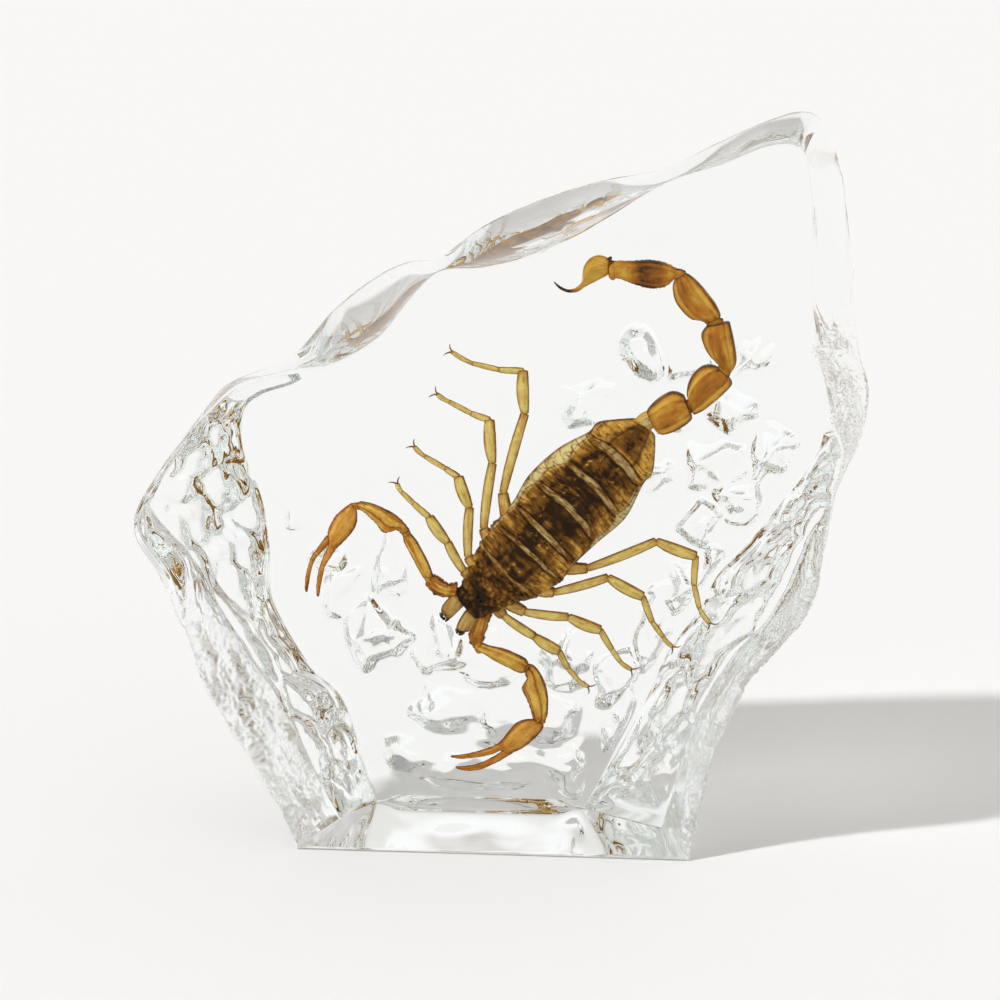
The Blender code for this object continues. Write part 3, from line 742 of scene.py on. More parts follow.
def wallRelief(grid, frontShare, backShare, place, reach):
    # How far each point of the walls moves outwards, and how rough it is there. The front walls along the top
    # have one hollow from edge to arris, a parabola, and the bevel on the right has a wave, one sine. The
    # hammering is small bumps on soft lumps. The knapping is bowls between sharp ridges, the squared distance
    # to scattered points, longer along the outline than across it.
    hammered = insideRuns(block["hammeredRuns"], place)
    smooth = 1 - hammered
    frontBow = 4 * frontShare * (1 - frontShare)
    waved = smoothStep(*block["waveStart"], place) * smooth * (backShare == 0)
    off = -block["flakeHollow"] * frontBow * smooth * (1 - smoothStep(*block["flakeEnd"], place))
    off -= block["bevelHollow"] * frontBow * smoothStep(*block["hollowStart"], place) * smooth * (1 - waved)
    off -= block["bevelWave"] * np.sin(2 * np.pi * frontShare) * waved
    flow = softNoise(grid * block["flowScale"], block["flowSize"], 6)
    off += block["bevelFlow"] * flow * frontBow * waved

    lumps = softNoise(grid, block["lumpSize"], 3)
    dents = vectors(reach, grid[:, :, 1] / block["pebbleStretch"], 0)
    pebbles = block["pebbleLevel"] - cellDistances(dents, block["pebbleSize"], 5)[0] ** 1.5
    frontFade = smoothStep(0, block["arrisFade"], 1 - frontShare)
    atEdge = 1 - smoothStep(0, block["edgeWidth"], frontShare)
    bumps = block["lumpDepth"] * lumps + block["pebbleDepth"] * pebbles
    chips = np.minimum(2 * bumps - block["chipLevel"], 0)
    off += hammered * frontFade * (bumps * (1 - atEdge) + chips * atEdge)

    warp = block["bend"] * softNoise(grid, block["bendSize"], 8)
    wall = vectors(reach / block["bowlStretch"] + warp, grid[:, :, 1] + block["bendAcross"] * warp, 0)
    cut = 0
    for depth, size, level, seed in block["bowls"]:
        cut = cut + depth * (cellDistances(wall, size, seed)[0] ** 2 - level)
    backBow = np.clip(np.sin(np.pi * backShare), 0, 1)
    knapped = insideRuns(block["knappedRuns"], place) * np.sqrt(backBow)
    bubbles = insideRuns(block["bubbleRuns"], place) * smoothStep(*block["bubbleFade"], frontShare)
    bubbles = bubbles * (backShare == 0)
    off += cut * np.maximum(knapped, block["bubbleShare"] * bubbles)

    height = grid[:, :, 2]
    foot = smoothStep(*block["footFade"], height)
    foot = foot * (1 - (1 - smoothStep(*block["rearFootFade"], height)) * (frontShare == 1))
    onFront = (frontShare > 0) & (frontShare < 1)
    roughness = block["knappedRoughness"] * np.maximum(knapped, bubbles) * (1 - hammered * onFront)
    roughness = roughness + hammered * (frontShare < 1) * frontFade
    return off * foot, np.clip(roughness, 0, 1)


def cutFoot(grid, onBase, baseShare):
    # The back's lower edge is cut by a facet that reaches furthest under the block in its middle.
    grid[:, :, 2] = np.maximum(grid[:, :, 2], 0)
    base = grid[:, onBase]
    height = np.minimum(base[:, :, 2], block["edgeRound"])
    fromSide = 1 - np.abs(2 * baseShare - 1)
    underBlock = block["thickness"] / 2 - base[:, :, 1]
    facet = 1 - underBlock / (block["baseCut"][0] + block["baseCut"][1] * fromSide)
    facet = block["baseCutHeight"] * smoothStep(0, block["baseCutEnds"], fromSide) * np.clip(facet, 0, 1)
    grid[:, onBase, 2] = np.maximum(height, facet)


def blockShell():
    # Columns follow the outline's three curves and rows run down each column. The flat front is closed by a
    # few rings, and the scooped back by many with half the columns: five-sided faces join them in pairs.
    half = block["thickness"] / 2
    place = outlinePlaces()
    curves, baseShare = outlineCurves(place)
    place = np.concatenate([place, np.full(len(baseShare), -1.0)])
    grid, frontShare, backShare = wallRows(*curves)
    off, roughness = wallRelief(grid, frontShare, backShare, place, runLength(curves[0]))
    grid = grid + outwardNormals(grid) * (off * (place >= 0))[:, :, None]
    cutFoot(grid, place < 0, baseShare)
    grid = np.clip(grid, np.array(cadLow) / millimetre, np.array(cadHigh) / millimetre)
    grid[0, :, 1] = -half

    columns = grid.shape[1]
    middleX, _, middleZ = block["middle"]
    frontMiddle = np.array([middleX, -half, middleZ])
    backMiddle = np.array([middleX, half, middleZ])
    frontRings = [frontMiddle + (grid[0] - frontMiddle) * share for share in block["frontRings"]]
    backRings = []
    for share in np.linspace(1, 0, block["backRings"] + 1)[1:-1]:
        ring = backMiddle + (grid[-1, ::2] - backMiddle) * share
        ring[:, 1] = half - reliefDepth(ring[:, 0], ring[:, 2]) * smoothStep(0, block["rimWidth"], 1 - share)
        backRings.append(ring)
    outer = np.concatenate([np.stack(frontRings[::-1]), grid])
    inner = np.stack(backRings)
    backMiddle[1] = half - float(reliefDepth(np.array([middleX]), np.array([middleZ]))[0])
    points = np.concatenate([outer.reshape(-1, 3), inner.reshape(-1, 3), [frontMiddle, backMiddle]])
    outerIndex = np.arange(outer.shape[0] * columns).reshape(-1, columns)
    innerIndex = outerIndex.size + np.arange(inner.size // 3).reshape(inner.shape[:2])
    last, following = outerIndex[-1], np.roll(outerIndex[-1], -2)
    faces = [
        gridFaces(*outerIndex.shape),
        gridFaces(*innerIndex.shape) + outerIndex.size,
        np.stack([last[::2], last[1::2], following[::2], np.roll(innerIndex[0], -1), innerIndex[0]], axis=-1),
        fanFaces(outerIndex[0], len(points) - 2, reverse=True),
        fanFaces(innerIndex[-1], len(points) - 1),
    ]
    mask = np.zeros(len(points))
    mask[len(frontRings) * columns : outerIndex.size] = roughness.ravel()
    return points, faces, {"hammered": mask}


makePiece("resin_block", blockShell(), clearResin, "resin", "resin_front", "resin_back")


# Where the camera stands: degrees round from the front and up, and metres.

camera = {
    "target": (0.0004, -0.0125, 0.0400),
    "azimuth": 5.04,
    "elevation": 15.0,
    "distance": 0.42,
    "lens": 142.4,
    "sensor": 36.0,
    "pixels": 1000,  # the photograph's width and height
}


def direction(azimuth, elevation):
    # Towards a place that is so many degrees round from the front and up.
    azimuth, elevation = math.radians(azimuth), math.radians(elevation)
    level = math.cos(elevation)
    return np.array([math.sin(azimuth) * level, -math.cos(azimuth) * level, math.sin(elevation)])


# The scorpion. It lies in the plane y = 0 with its back towards the front face. Most of its parts are lofts
# between two traced edges, given as pixels of the photograph and carried back through the resin's front face.


def photoPoint(pixels):
    # Where pixels (column, row) lie on the plane y = 0: the view ray meets the flat front face, bends by
    # Snell's law and runs on to the plane.
    offset = np.asarray(pixels, float) - camera["pixels"] / 2
    offset = offset / camera["pixels"] * camera["sensor"] / camera["lens"]
    back = direction(camera["azimuth"], camera["elevation"])
    right = direction(camera["azimuth"] + 90, 0)
    down = np.cross(right, back)
    eye = (np.array(camera["target"]) + back * camera["distance"]) / millimetre
    ray = -back + offset[..., :1] * right + offset[..., 1:] * down
    ray /= np.linalg.norm(ray, axis=-1, keepdims=True)
    onFace = eye + ray * ((-block["thickness"] / 2 - eye[1]) / ray[..., 1:2])
    bent = ray / resinLook["ior"]
    bent[..., 1] = np.sqrt(1 - bent[..., 0] ** 2 - bent[..., 2] ** 2)
    return onFace - bent * (onFace[..., 1:2] / bent[..., 1:2])


def closedTube(points, shade, accent, fibre):
    # Rings of points become a closed tube with a pole at each end. The faces are turned over if they enclose
    # a negative volume.
    rows, around = points.shape[:2]
    count = rows * around
    index = np.arange(count).reshape(rows, around)
    points = np.concatenate([points.reshape(-1, 3), [points[0].mean(axis=0), points[-1].mean(axis=0)]])
    faces = [
        gridFaces(rows, around)[:, ::-1],
        fanFaces(index[0], count),
        fanFaces(index[-1], count + 1, reverse=True),
    ]
    first, second, third, fourth = np.moveaxis(points[faces[0]], 1, 0)
    volume = np.sum(np.cross(first, second) * third) + np.sum(np.cross(first, third) * fourth)
    if volume < 0:
        faces = [part[:, ::-1] for part in faces]
    values = {}
    for key, value in (("shade", shade), ("accent", accent)):
        value = np.clip(np.broadcast_to(value, (rows, around)), 0, 1)
        values[key] = np.concatenate([value.ravel(), [value[0].mean(), value[-1].mean()]])
    values["fibre"] = np.concatenate([fibre.reshape(-1, 3), [fibre[0].mean(axis=0), fibre[-1].mean(axis=0)]])
    return points, faces, values


def scorpionPiece(name, shells, look):
    # One piece of the animal from several shells, in the chitin of the named look.
    makePiece(name, joinShells(shells), chitin[look], "chitin", "scorpion")


# What the limbs share. Each limb's own look gives the rest: "shade" and "accent" are stops of (share of its
# length, value), and the rim, "ends", "crest" and "streaks" say how much darker it is there. The rim is
# painted shade along both edges, for the longer path that light takes through the shell at the sides.

limb = {
    "endGap": 0.004,  # keeps the first and the last ring from having no width
    "keelWidth": 0.11,  # in radians
    "beadLength": 0.42,
    "granuleReach": 0.62,  # in cells
    "thickest": 1.15,  # times the mean half width
    "ripple": 0.02,
    "rimEnd": 0.97,
}
towardsViewer = np.array([0, -1.0, 0])


def alongLimb(stops, distance):
    return np.interp(distance / distance[-1], *np.array(stops).T)[:, None]


def closing(distance, blunt):
    # Both ends close over a short rounded length.
    ahead, behind = distance + limb["endGap"], distance[-1] - distance + limb["endGap"]
    return (roundedEnd(ahead, blunt) * roundedEnd(behind, blunt))[:, None]


def granuleHeight(places, look):
    # Round granules about scattered points: their reach minus the distance, cut off at nothing.
    nearest = cellDistances(places, look["granuleSize"], look["seed"])[0]
    return np.clip(limb["granuleReach"] - nearest, 0, 1)


def limbShade(look, distance, cosine, grain):
    # The limb's shade: its own, darker at its two ends and streaked, with painted shade darkening its two
    # edges.
    fromEnd = np.minimum(distance, distance[-1] - distance)[:, None]
    # painted shade: both edges darkened, as if light crossed more shell there
    rim = look["rim"] * smoothStep(look["rimStart"], limb["rimEnd"], np.abs(cosine))
    ends = look["ends"] * hump(fromEnd, look["endWidth"])
    return alongLimb(look["shade"], distance) + rim + ends + look["streaks"] * grain


def loft(pairs, look):
    # A closed body between two edges. Each row of pairs is left (column, row) and right (column, row) in the
    # photograph, and rings join them: across by the cosine of an angle, out by its sine. Keels are narrow
    # ridges at given angles, beaded by a sine along the limb.
    pairs = np.array(pairs, float)
    place = np.linspace(0, len(pairs) - 1, (len(pairs) - 1) * look["steps"] + 1)
    left = curveThrough(photoPoint(pairs[:, :2]), place)
    right = curveThrough(photoPoint(pairs[:, 2:]), place)
    middle, across = (left + right) / 2, (right - left) / 2
    half = np.linalg.norm(across, axis=1, keepdims=True)
    distance = runLength(middle)
    close = closing(distance, look["blunt"])
    along = distance[:, None]
    share = along / along[-1]
    angle, cosine, sine = ringAngles(look["around"])
    spread, bulge = signedPower(cosine, look["square"]), signedPower(sine, look["square"])
    raised = np.zeros((len(place), look["around"]))
    for keelAngle in look["keels"]:
        raised = raised + hump(np.angle(np.exp(1j * (angle - math.radians(keelAngle)))), limb["keelWidth"])
    beads = np.sin(2 * np.pi * (along / limb["beadLength"] + 0.4 * np.sin(2.3 * along)))
    grain = softNoise(vectors(along * 0.5, 3 * cosine, 3 * sine), 0.9, look["seed"])
    granule = granuleHeight(vectors(along, spread * half, sine * half), look)
    ridge = raised * look["keelHeight"] * (1 + look["beads"] * beads) + look["granules"] * granule
    thick = np.minimum(half, half.mean() * limb["thickest"]) * close
    out = bulge * look["thick"] * (thick + ridge * close) + look["height"] + limb["ripple"] * grain
    points = (
        middle[:, None]
        + (across / half)[:, None] * (spread * (half * close + ridge * close))[..., None]
        + towardsViewer * out[..., None]
    )
    shade = limbShade(look, distance, cosine, grain)
    shade = shade + look["crest"] * hump(angle - np.pi / 2, look["crestWidth"]) * 4 * share * (1 - share)
    shade = shade + raised * look["keelShade"] + look["granuleShade"] * (0.25 - granule)
    accent = alongLimb(look["accent"], distance) * np.clip(1.1 - np.abs(cosine) + 0.6 * grain, 0, 1)
    fibre = vectors(0.18 * along + look["seed"], cosine * half, sine * half)
    return closedTube(points, shade, accent, fibre)


def tube(knots, look):
    # A round body along a smooth curve through knots (x, y, z, radius): rings across the curve, swelling with
    # the radius, with a pole at each end.
    knots = np.array(knots, float)
    place = np.linspace(0, len(knots) - 1, (len(knots) - 1) * look["steps"] + 1)
    line = curveThrough(knots, place)
    centre, radius = line[:, :3], np.maximum(line[:, 3:], 0.01)
    tangent = np.gradient(centre, axis=0)
    tangent /= np.linalg.norm(tangent, axis=1, keepdims=True)
    sideways = np.cross(tangent, -towardsViewer)
    sideways /= np.linalg.norm(sideways, axis=1, keepdims=True)
    upwards = np.cross(tangent, sideways)
    distance = runLength(centre)
    along = distance[:, None] + look["seed"]
    radius = radius * closing(distance, look["blunt"])
    angle, cosine, sine = ringAngles(look["around"])
    granule = granuleHeight(vectors(along, 0.6 * cosine, 0.6 * sine), look)
    size = radius + look["granules"] * granule * np.minimum(radius / 0.3, 1)
    points = (
        centre[:, None]
        + (size * cosine)[..., None] * sideways[:, None]
        - (size * sine * look["thick"])[..., None] * upwards[:, None]
    )
    grain = softNoise(vectors(distance[:, None] * 0.7 + look["seed"], 2.2 * cosine, 2.2 * sine), 0.8, 31)
    shade = limbShade(look, distance, cosine, grain)
    offCentre = np.abs(np.sin((angle - look["accentTurn"]) / 2))
    accent = alongLimb(look["accent"], distance) * np.clip(1 - 1.8 * offCentre + 0.5 * grain, 0, 1)
    fibre = vectors(0.2 * distance[:, None] + look["seed"], cosine * 0.5, sine * 0.5)
    return closedTube(points, shade, accent, fibre)


# Trunk: stations from the head to the tail, each the two edges of the body in the photograph, how far the
# station's middle bows towards the tail, how far all of it moves that way, the half thickness, and the bare
# skin inside the left and right edges.

trunk = {
    "stations": (
        (455.6, 593.5, 475.5, 618.5, -0.1, 0.0, 1.1, 0.0, 0.0),
        (463.5, 581.1, 491.3, 613.1, 0.0, 0.0, 1.6, 0.0, 0.0),
        (470.6, 563.4, 512.9, 603.2, -0.2, 0.0, 2.0, 0.0, 0.0),
        (481.7, 541.8, 536.1, 595.7, -0.35, 0.1, 2.2, 0.0, 0.0),
        (495.5, 521.9, 561.0, 579.9, 0.15, 0.1, 2.4, 0.1, 0.0),
        (512.9, 501.5, 575.1, 563.4, 0.1, 0.2, 2.5, 0.35, 0.15),
        (529.5, 474.3, 598.3, 541.8, 0.9, -0.1, 2.6, 0.9, 0.5),
        (558.5, 448.1, 625.6, 517.7, 0.9, -0.6, 2.5, 1.4, 0.9),
        (587.8, 432.3, 643.1, 484.6, 0.9, -0.35, 2.2, 0.2, 0.2),
        (597.5, 422.3, 652.5, 472.5, 0.6, -0.2, 2.0, 0.0, 0.0),
        (616.5, 419.3, 655.2, 451.5, 0.2, 0.0, 1.5, 0.0, 0.0),
        (636.0, 418.0, 655.3, 434.0, 0.0, 0.0, 0.9, 0.0, 0.0),
    ),
    "bands": (3, 4, 5, 6, 7, 8),  # stations with a pale band across the plates
    "bandHalf": (0.2, 0.24, 0.34, 0.4, 0.42, 0.46),
    "steps": 32,
    "around": 200,
    "squareness": (0.85, 0.9),  # powers of the cosine across and the sine out: 1 is round
    "endGap": 0.003,
    "headLength": 0.12,  # what the two ends close over, in stations
    "rearLength": 0.2,
    "onTrunk": (2.96, 3.04),  # stations between which the head shield ends
    "lastPlate": (7.95, 8.1),
    "granuleSize": 0.55,
    "ragged": 0.45,
    "rise": {
        "plates": 0.2,
        "shieldGranules": 0.36,
        "plateGranules": 0.045,
        "plateBlotches": 0.05,
        "shieldBlotches": 0.10,
        "wrinkles": 0.06,
        "eyeMound": 0.5,
        "frontLobes": 0.25,
        "midline": 0.05,
        "lastKeels": 0.12,
        "bands": -0.08,
        "cracks": -0.10,
    },
    # shades go from 0, light, to 1, dark
    "plateShade": {
        "ground": 0.37,
        "core": 0.46,
        "blotches": 0.1,
        "coreBlotches": 0.25,
        "speckles": 0.12,
        "fibres": 0.3,
        "wrinkles": 0.36,
        "rearEdge": 0.3,
        "frontEdge": 0.2,
        "pits": 0.3,
        # painted highlights: light specks in the plates' middle and glints on their flanks
        "paintedSparkles": -0.8,
        "glints": -0.5,
    },
    "lastShade": {"ground": 0.18, "core": 0.6, "blotches": 0.20, "speckles": 0.16, "keels": 0.35},
    "shieldShade": {
        "ground": 0.745,
        "blotches": 0.45,
        "speckles": 0.25,
        "eyeMound": 0.9,
        "granules": -0.5,
        "front": 0.15,
        "flanks": -0.30,
        "cracks": 0.25,
    },
    "bandShade": {"ground": 0.26, "speckles": 0.10, "flanks": 0.25},
    "skinShade": {"ground": 0.06, "veins": 0.3},
    "bellyShade": {"ground": 0.34, "bands": 0.20, "blotches": 0.15},
    # the outline's rim is painted shade; the plates' edges and the veins are dark lines of their own
    "edgeShade": {"rim": 0.4, "plateEdge": 0.35, "veins": 0.20},
    "bandLine": 0.6,
}


def trunkMap():
    # Where the points of the trunk's rings lie. The rings follow the bands, so a plate is what lies between
    # two stations. Masks go from 0 to 1, "local" is the share of the way along the plate, and "edges" and
    # "skins" are the distances in from the left and the right edge and the widths of the bare skin there.
    stations = np.array(trunk["stations"])
    place = np.linspace(0, len(stations) - 1, (len(stations) - 1) * trunk["steps"] + 1)
    left = curveThrough(photoPoint(stations[:, :2]), place)
    right = curveThrough(photoPoint(stations[:, 2:4]), place)
    at = SimpleNamespace(place=place[:, None], middle=(left + right) / 2)
    at.bow, at.shift, at.thick, skinLeft, skinRight = curveThrough(stations[:, 4:], place).T[:, :, None]
    at.half = np.linalg.norm((right - left) / 2, axis=1, keepdims=True)
    at.unit = (right - left) / 2 / at.half
    _, at.cosine, at.sine = ringAngles(trunk["around"])
    at.spread = signedPower(at.cosine, trunk["squareness"][0])
    at.side = at.spread * at.half
    at.flat = at.middle[:, None] + at.unit[:, None] * at.side[..., None]
    at.dorsal = smoothStep(-0.1, 0.2, at.sine)

    # Which band is nearest, and where on its plate each point lies.
    distance = runLength(at.middle)
    bandSpots = np.interp(trunk["bands"], place, distance)
    wobble = 0.10 * softNoise(at.flat, 1.3, 41)
    at.spot = distance[:, None] + wobble
    toBand = np.min(np.abs(at.spot[..., None] - bandSpots) / np.array(trunk["bandHalf"]), axis=-1)
    at.toBand = toBand * (1 + 1.1 * (at.side / at.half) ** 4)
    number = np.searchsorted(bandSpots, at.spot.ravel(), side="right").reshape(at.spot.shape) - 1
    number = np.clip(number, 0, len(bandSpots) - 1)
    following = np.append(bandSpots[1:], distance[-1])
    at.local = np.clip((at.spot - bandSpots[number]) / (following[number] - bandSpots[number]), 0, 1)

    # Masks.
    lobed = 0.72 + 0.5 * np.abs(2 * at.local - 1) ** 1.5
    at.skins = np.stack([skinLeft * lobed, skinRight * lobed])
    at.edges = np.stack([at.half + at.side, at.half - at.side])
    at.onTrunk = smoothStep(*trunk["onTrunk"], at.place)
    at.lastPlate = smoothStep(*trunk["lastPlate"], at.place)
    at.shield = (1 - smoothStep(2.9, 3.0, at.place)) * at.dorsal
    inPlate = np.prod(smoothStep(0.0, 0.25, at.edges - at.skins + wobble), axis=0)
    at.onPlate = inPlate * at.dorsal * at.onTrunk
    inwards = at.edges - 0.6 * at.skins
    inside = smoothStep(0.5, 1.3, inwards[0]) * smoothStep(0.6, 1.5, inwards[1])
    bandWave = at.toBand + 0.12 * softNoise(at.flat, 0.5, 40)
    at.band = (1 - smoothStep(0.8, 1.1, bandWave)) * at.dorsal * inside * at.onTrunk
    at.bandLine = hump(bandWave - 1.2, 0.26) * at.dorsal * at.onTrunk * inPlate

    # What both the relief and the shades show.
    scattered = at.flat + 0.15 * softNoise(at.flat, 0.8, 43)[..., None]
    nearest, second = cellDistances(scattered, trunk["granuleSize"], 21)
    at.granules = np.clip(0.7 - nearest, 0, 1)
    at.cracks = np.clip(1 - (second - nearest) / 0.16, 0, 1)
    at.fibres = softNoise(vectors(at.side * 1.7, 0, at.spot * 0.4), 0.6, 45)
    at.wrinkles = softNoise(vectors(at.side * 0.22, 0, at.spot * 1.3), 0.55, 46)
    at.blotch = softNoise(at.flat, 1.4, 47) * 0.6 + softNoise(at.flat, 0.55, 48) * 0.4
    at.mound = hump(at.place - 1.32, 0.34) * hump(at.side - 0.15, 0.72) * at.dorsal
    at.lastKeels = hump(np.abs(at.side) - 0.42 * at.half, 0.16) * at.lastPlate * at.dorsal
    return at


def trunkRise(at):
    # How far the back stands out, in millimetres: plates rise towards their rear edge, the head shield is
    # granular with a raised eye mound, and the last plate has keels.
    plate = at.onPlate * (1 - at.band)
    flank = smoothStep(0.42, 0.85, np.abs(at.side) / (at.half - 0.5 * at.skins.sum(axis=0)))
    head = (1 - smoothStep(0.1, 0.9, at.place)) * at.dorsal
    parts = {
        "plates": (0.3 + 0.7 * at.local) * plate,
        "shieldGranules": at.granules * at.shield,
        "plateGranules": at.granules * plate,
        "plateBlotches": at.blotch * at.onPlate,
        "shieldBlotches": at.blotch * at.shield,
        "wrinkles": at.wrinkles * at.onPlate * flank,
        "eyeMound": at.mound,
        "frontLobes": hump(np.abs(at.side + 0.1) - 0.95, 0.55) * head,
        "midline": hump(at.side, 0.14) * plate * (1 - at.lastPlate),
        "lastKeels": at.lastKeels,
        "bands": at.band,
        "cracks": at.cracks * at.shield,
    }
    return weighted(trunk["rise"], parts)


def trunkShade(at):
    # The middle of each plate is darkest and its flanks are amber and wrinkled. Between the plates lie pale
    # bands with a dark line, and at their sides bare skin with veins. Painted highlights light up specks in
    # the middle of the plates and glints on their flanks, and painted shade darkens the body's outline.
    speckle = softNoise(at.flat, 0.28, 51) * 0.6 + softNoise(at.flat, 0.14, 52) * 0.4
    core = 1 - smoothStep(0.3, 0.8, (np.abs(at.side + 0.3) + 0.5 * at.blotch) / at.half)
    # where the painted glints fall on the flanks
    sheen = smoothStep(-0.1, 0.3, softNoise(at.flat, 0.9, 53))
    veins = np.clip(1 - np.abs(softNoise(at.flat, 0.9, 49)) * 6, 0, 1)
    plate = {
        "ground": 1,
        "core": core,
        "blotches": at.blotch,
        "coreBlotches": core * at.blotch,
        "speckles": speckle,
        "fibres": at.fibres * core,
        "wrinkles": at.wrinkles * (1 - 0.7 * core),
        "rearEdge": hump(1 - at.local, 0.10),
        "frontEdge": hump(at.local, 0.16),
        "pits": smoothStep(0.3, 0.5, at.blotch) * core,
        # painted highlights: lighter specks in the middle and glints on the flanks
        "paintedSparkles": smoothStep(0.52, 0.6, speckle) * core,
        "glints": smoothStep(0.2, 0.45, at.wrinkles) * sheen * (1 - core),
    }
    last = {
        "ground": 1,
        "core": hump(at.side, 0.36 * at.half) * smoothStep(8.3, 8.8, at.place),
        "blotches": at.blotch,
        "speckles": speckle,
        "keels": at.lastKeels,
    }
    shield = {
        "ground": 1,
        "blotches": at.blotch,
        "speckles": speckle,
        "eyeMound": at.mound,
        "granules": at.granules,
        "front": 1 - smoothStep(0.2, 1.4, at.place),
        "flanks": smoothStep(0.6, 0.95, np.abs(at.cosine)) * smoothStep(0.8, 2.0, at.place),
        "cracks": at.cracks,
    }
    band = {"ground": 1, "speckles": speckle, "flanks": (at.side / at.half) ** 2}
    belly = {"ground": 1, "bands": hump(at.toBand, 1.2), "blotches": at.blotch}
    edges = {
        # painted shade along the body's outline
        "rim": hump(at.edges.min(axis=0), 0.13),
        "plateEdge": hump(at.edges - at.skins, 0.10).sum(axis=0) * at.dorsal * at.onTrunk,
        "veins": veins * at.onPlate,
    }
    shade = weighted(trunk["skinShade"], {"ground": 1, "veins": veins})
    shade = blend(shade, weighted(trunk["plateShade"], plate), at.onPlate)
    shade = blend(shade, weighted(trunk["lastShade"], last), at.lastPlate * at.dorsal)
    shade = blend(shade, weighted(trunk["bandShade"], band), at.band)
    shade = shade + trunk["bandLine"] * at.bandLine * (1 - at.band)
    shade = blend(shade, weighted(trunk["shieldShade"], shield), at.shield)
    shade = shade + weighted(trunk["edgeShade"], edges)
    return blend(weighted(trunk["bellyShade"], belly), shade, at.dorsal)


def trunkShell():
    # Rings across the body: along it by the stations, across by a power of the cosine, out by one of the
    # sine. The back bows towards the tail between its edges, and the head's edges are ragged.
    at = trunkMap()
    toHead, toRear = at.place, len(trunk["stations"]) - 1 - at.place
    ends = roundedEnd(toHead + trunk["endGap"], trunk["headLength"])
    ends = ends * roundedEnd(toRear + trunk["endGap"], trunk["rearLength"])
    out = signedPower(at.sine, trunk["squareness"][1]) * at.thick * ends
    tailward = np.cross(at.unit, -towardsViewer)[:, None]
    backwards = (at.bow * (1 - at.spread**2) + at.shift * (1 - at.spread**8)) * at.dorsal * ends
    ragged = trunk["ragged"] * at.granules * (np.abs(at.cosine) > 0.8) * (1 - smoothStep(3.8, 5.2, at.place))
    sideways = at.side * ends + np.sign(at.cosine) * ragged
    points = at.middle[:, None] + at.unit[:, None] * sideways[..., None] + tailward * backwards[..., None]
    points[..., 1] = -(out + trunkRise(at) * np.clip(at.sine, 0, 1) * ends)
    accent = np.clip(at.band + (1 - at.onPlate) * at.onTrunk * (1 - at.lastPlate), 0, 1) * at.dorsal
    fibre = vectors(0.75 * at.spot, 0.13 * at.side, 0.13 * out)
    return closedTube(points, trunkShade(at), accent, fibre)


# Round parts: the base that their looks are made from.

tubeLook = {
    "around": 20,
    "steps": 9,
    "thick": 0.85,
    "blunt": 0.14,
    "seed": 3,
    "rim": 0.75,
    "rimStart": 0.62,
    "ends": 0.75,
    "endWidth": 0.09,
    "streaks": 0.16,
    "granules": 0.04,
    "granuleSize": 0.3,
    "accent": ((0, 0), (1, 0)),
    "accentTurn": 0,
}
toothLook = {
    **tubeLook,
    "around": 10,
    "steps": 6,
    "blunt": 0.1,
    "shade": ((0, 0.8), (1, 1)),
    "ends": 0,
    "granules": 0.0,
}


def spike(pixels, depth, sizes):
    # A tapering body through pixels of the photograph.
    places = photoPoint(pixels)
    radii = np.linspace(*sizes, len(places))
    return tube([(place[0], depth, place[2], radius) for place, radius in zip(places, radii)], toothLook)


# Walking legs: the joints (x, z) from the body outwards. The shape gives, for each segment between two
# joints, its width, how much of it the four knots have, how far it bows and how bright it is, and for each
# joint how high it stands towards the viewer.

legs = {
    "left1": ((-2.6, 28.4), (-4.3, 29.8), (-6.0, 33.0), (-8.0, 35.8),
              (-9.7, 37.2), (-11.0, 38.4), (-11.5, 39.3)),
    "left2": ((-2.2, 29.4), (-3.8, 31.4), (-3.6, 37.0), (-4.8, 40.4),
              (-6.2, 41.2), (-8.5, 42.5), (-9.6, 43.5)),
    "left3": ((-1.0, 32.2), (-2.1, 34.6), (-1.1, 42.0), (-1.4, 46.8),
              (-3.4, 47.4), (-5.8, 48.6), (-7.1, 49.4)),
    "left4": ((0.6, 34.8), (0.0, 38.6), (2.4, 47.6), (2.2, 52.3),
              (-0.4, 52.3), (-3.3, 52.9), (-5.5, 54.1)),
    "right1": ((-1.4, 26.4), (0.1, 24.8), (3.5, 22.6), (6.2, 21.0),
               (7.1, 19.0), (8.2, 17.7), (9.3, 16.9)),
    "right2": ((0.0, 26.4), (2.4, 25.3), (7.2, 24.9), (10.7, 23.5),
               (11.9, 21.3), (12.8, 19.9), (14.0, 19.0)),
    "right3": ((2.8, 27.8), (5.6, 27.6), (11.5, 29.5), (15.3, 27.4),
               (16.3, 24.5), (17.5, 22.8), (18.5, 21.7)),
    "right4": ((5.6, 30.2), (9.2, 30.4), (16.7, 33.7), (21.0, 32.1),
               (20.8, 28.8), (21.4, 26.2), (22.5, 24.5)),
}
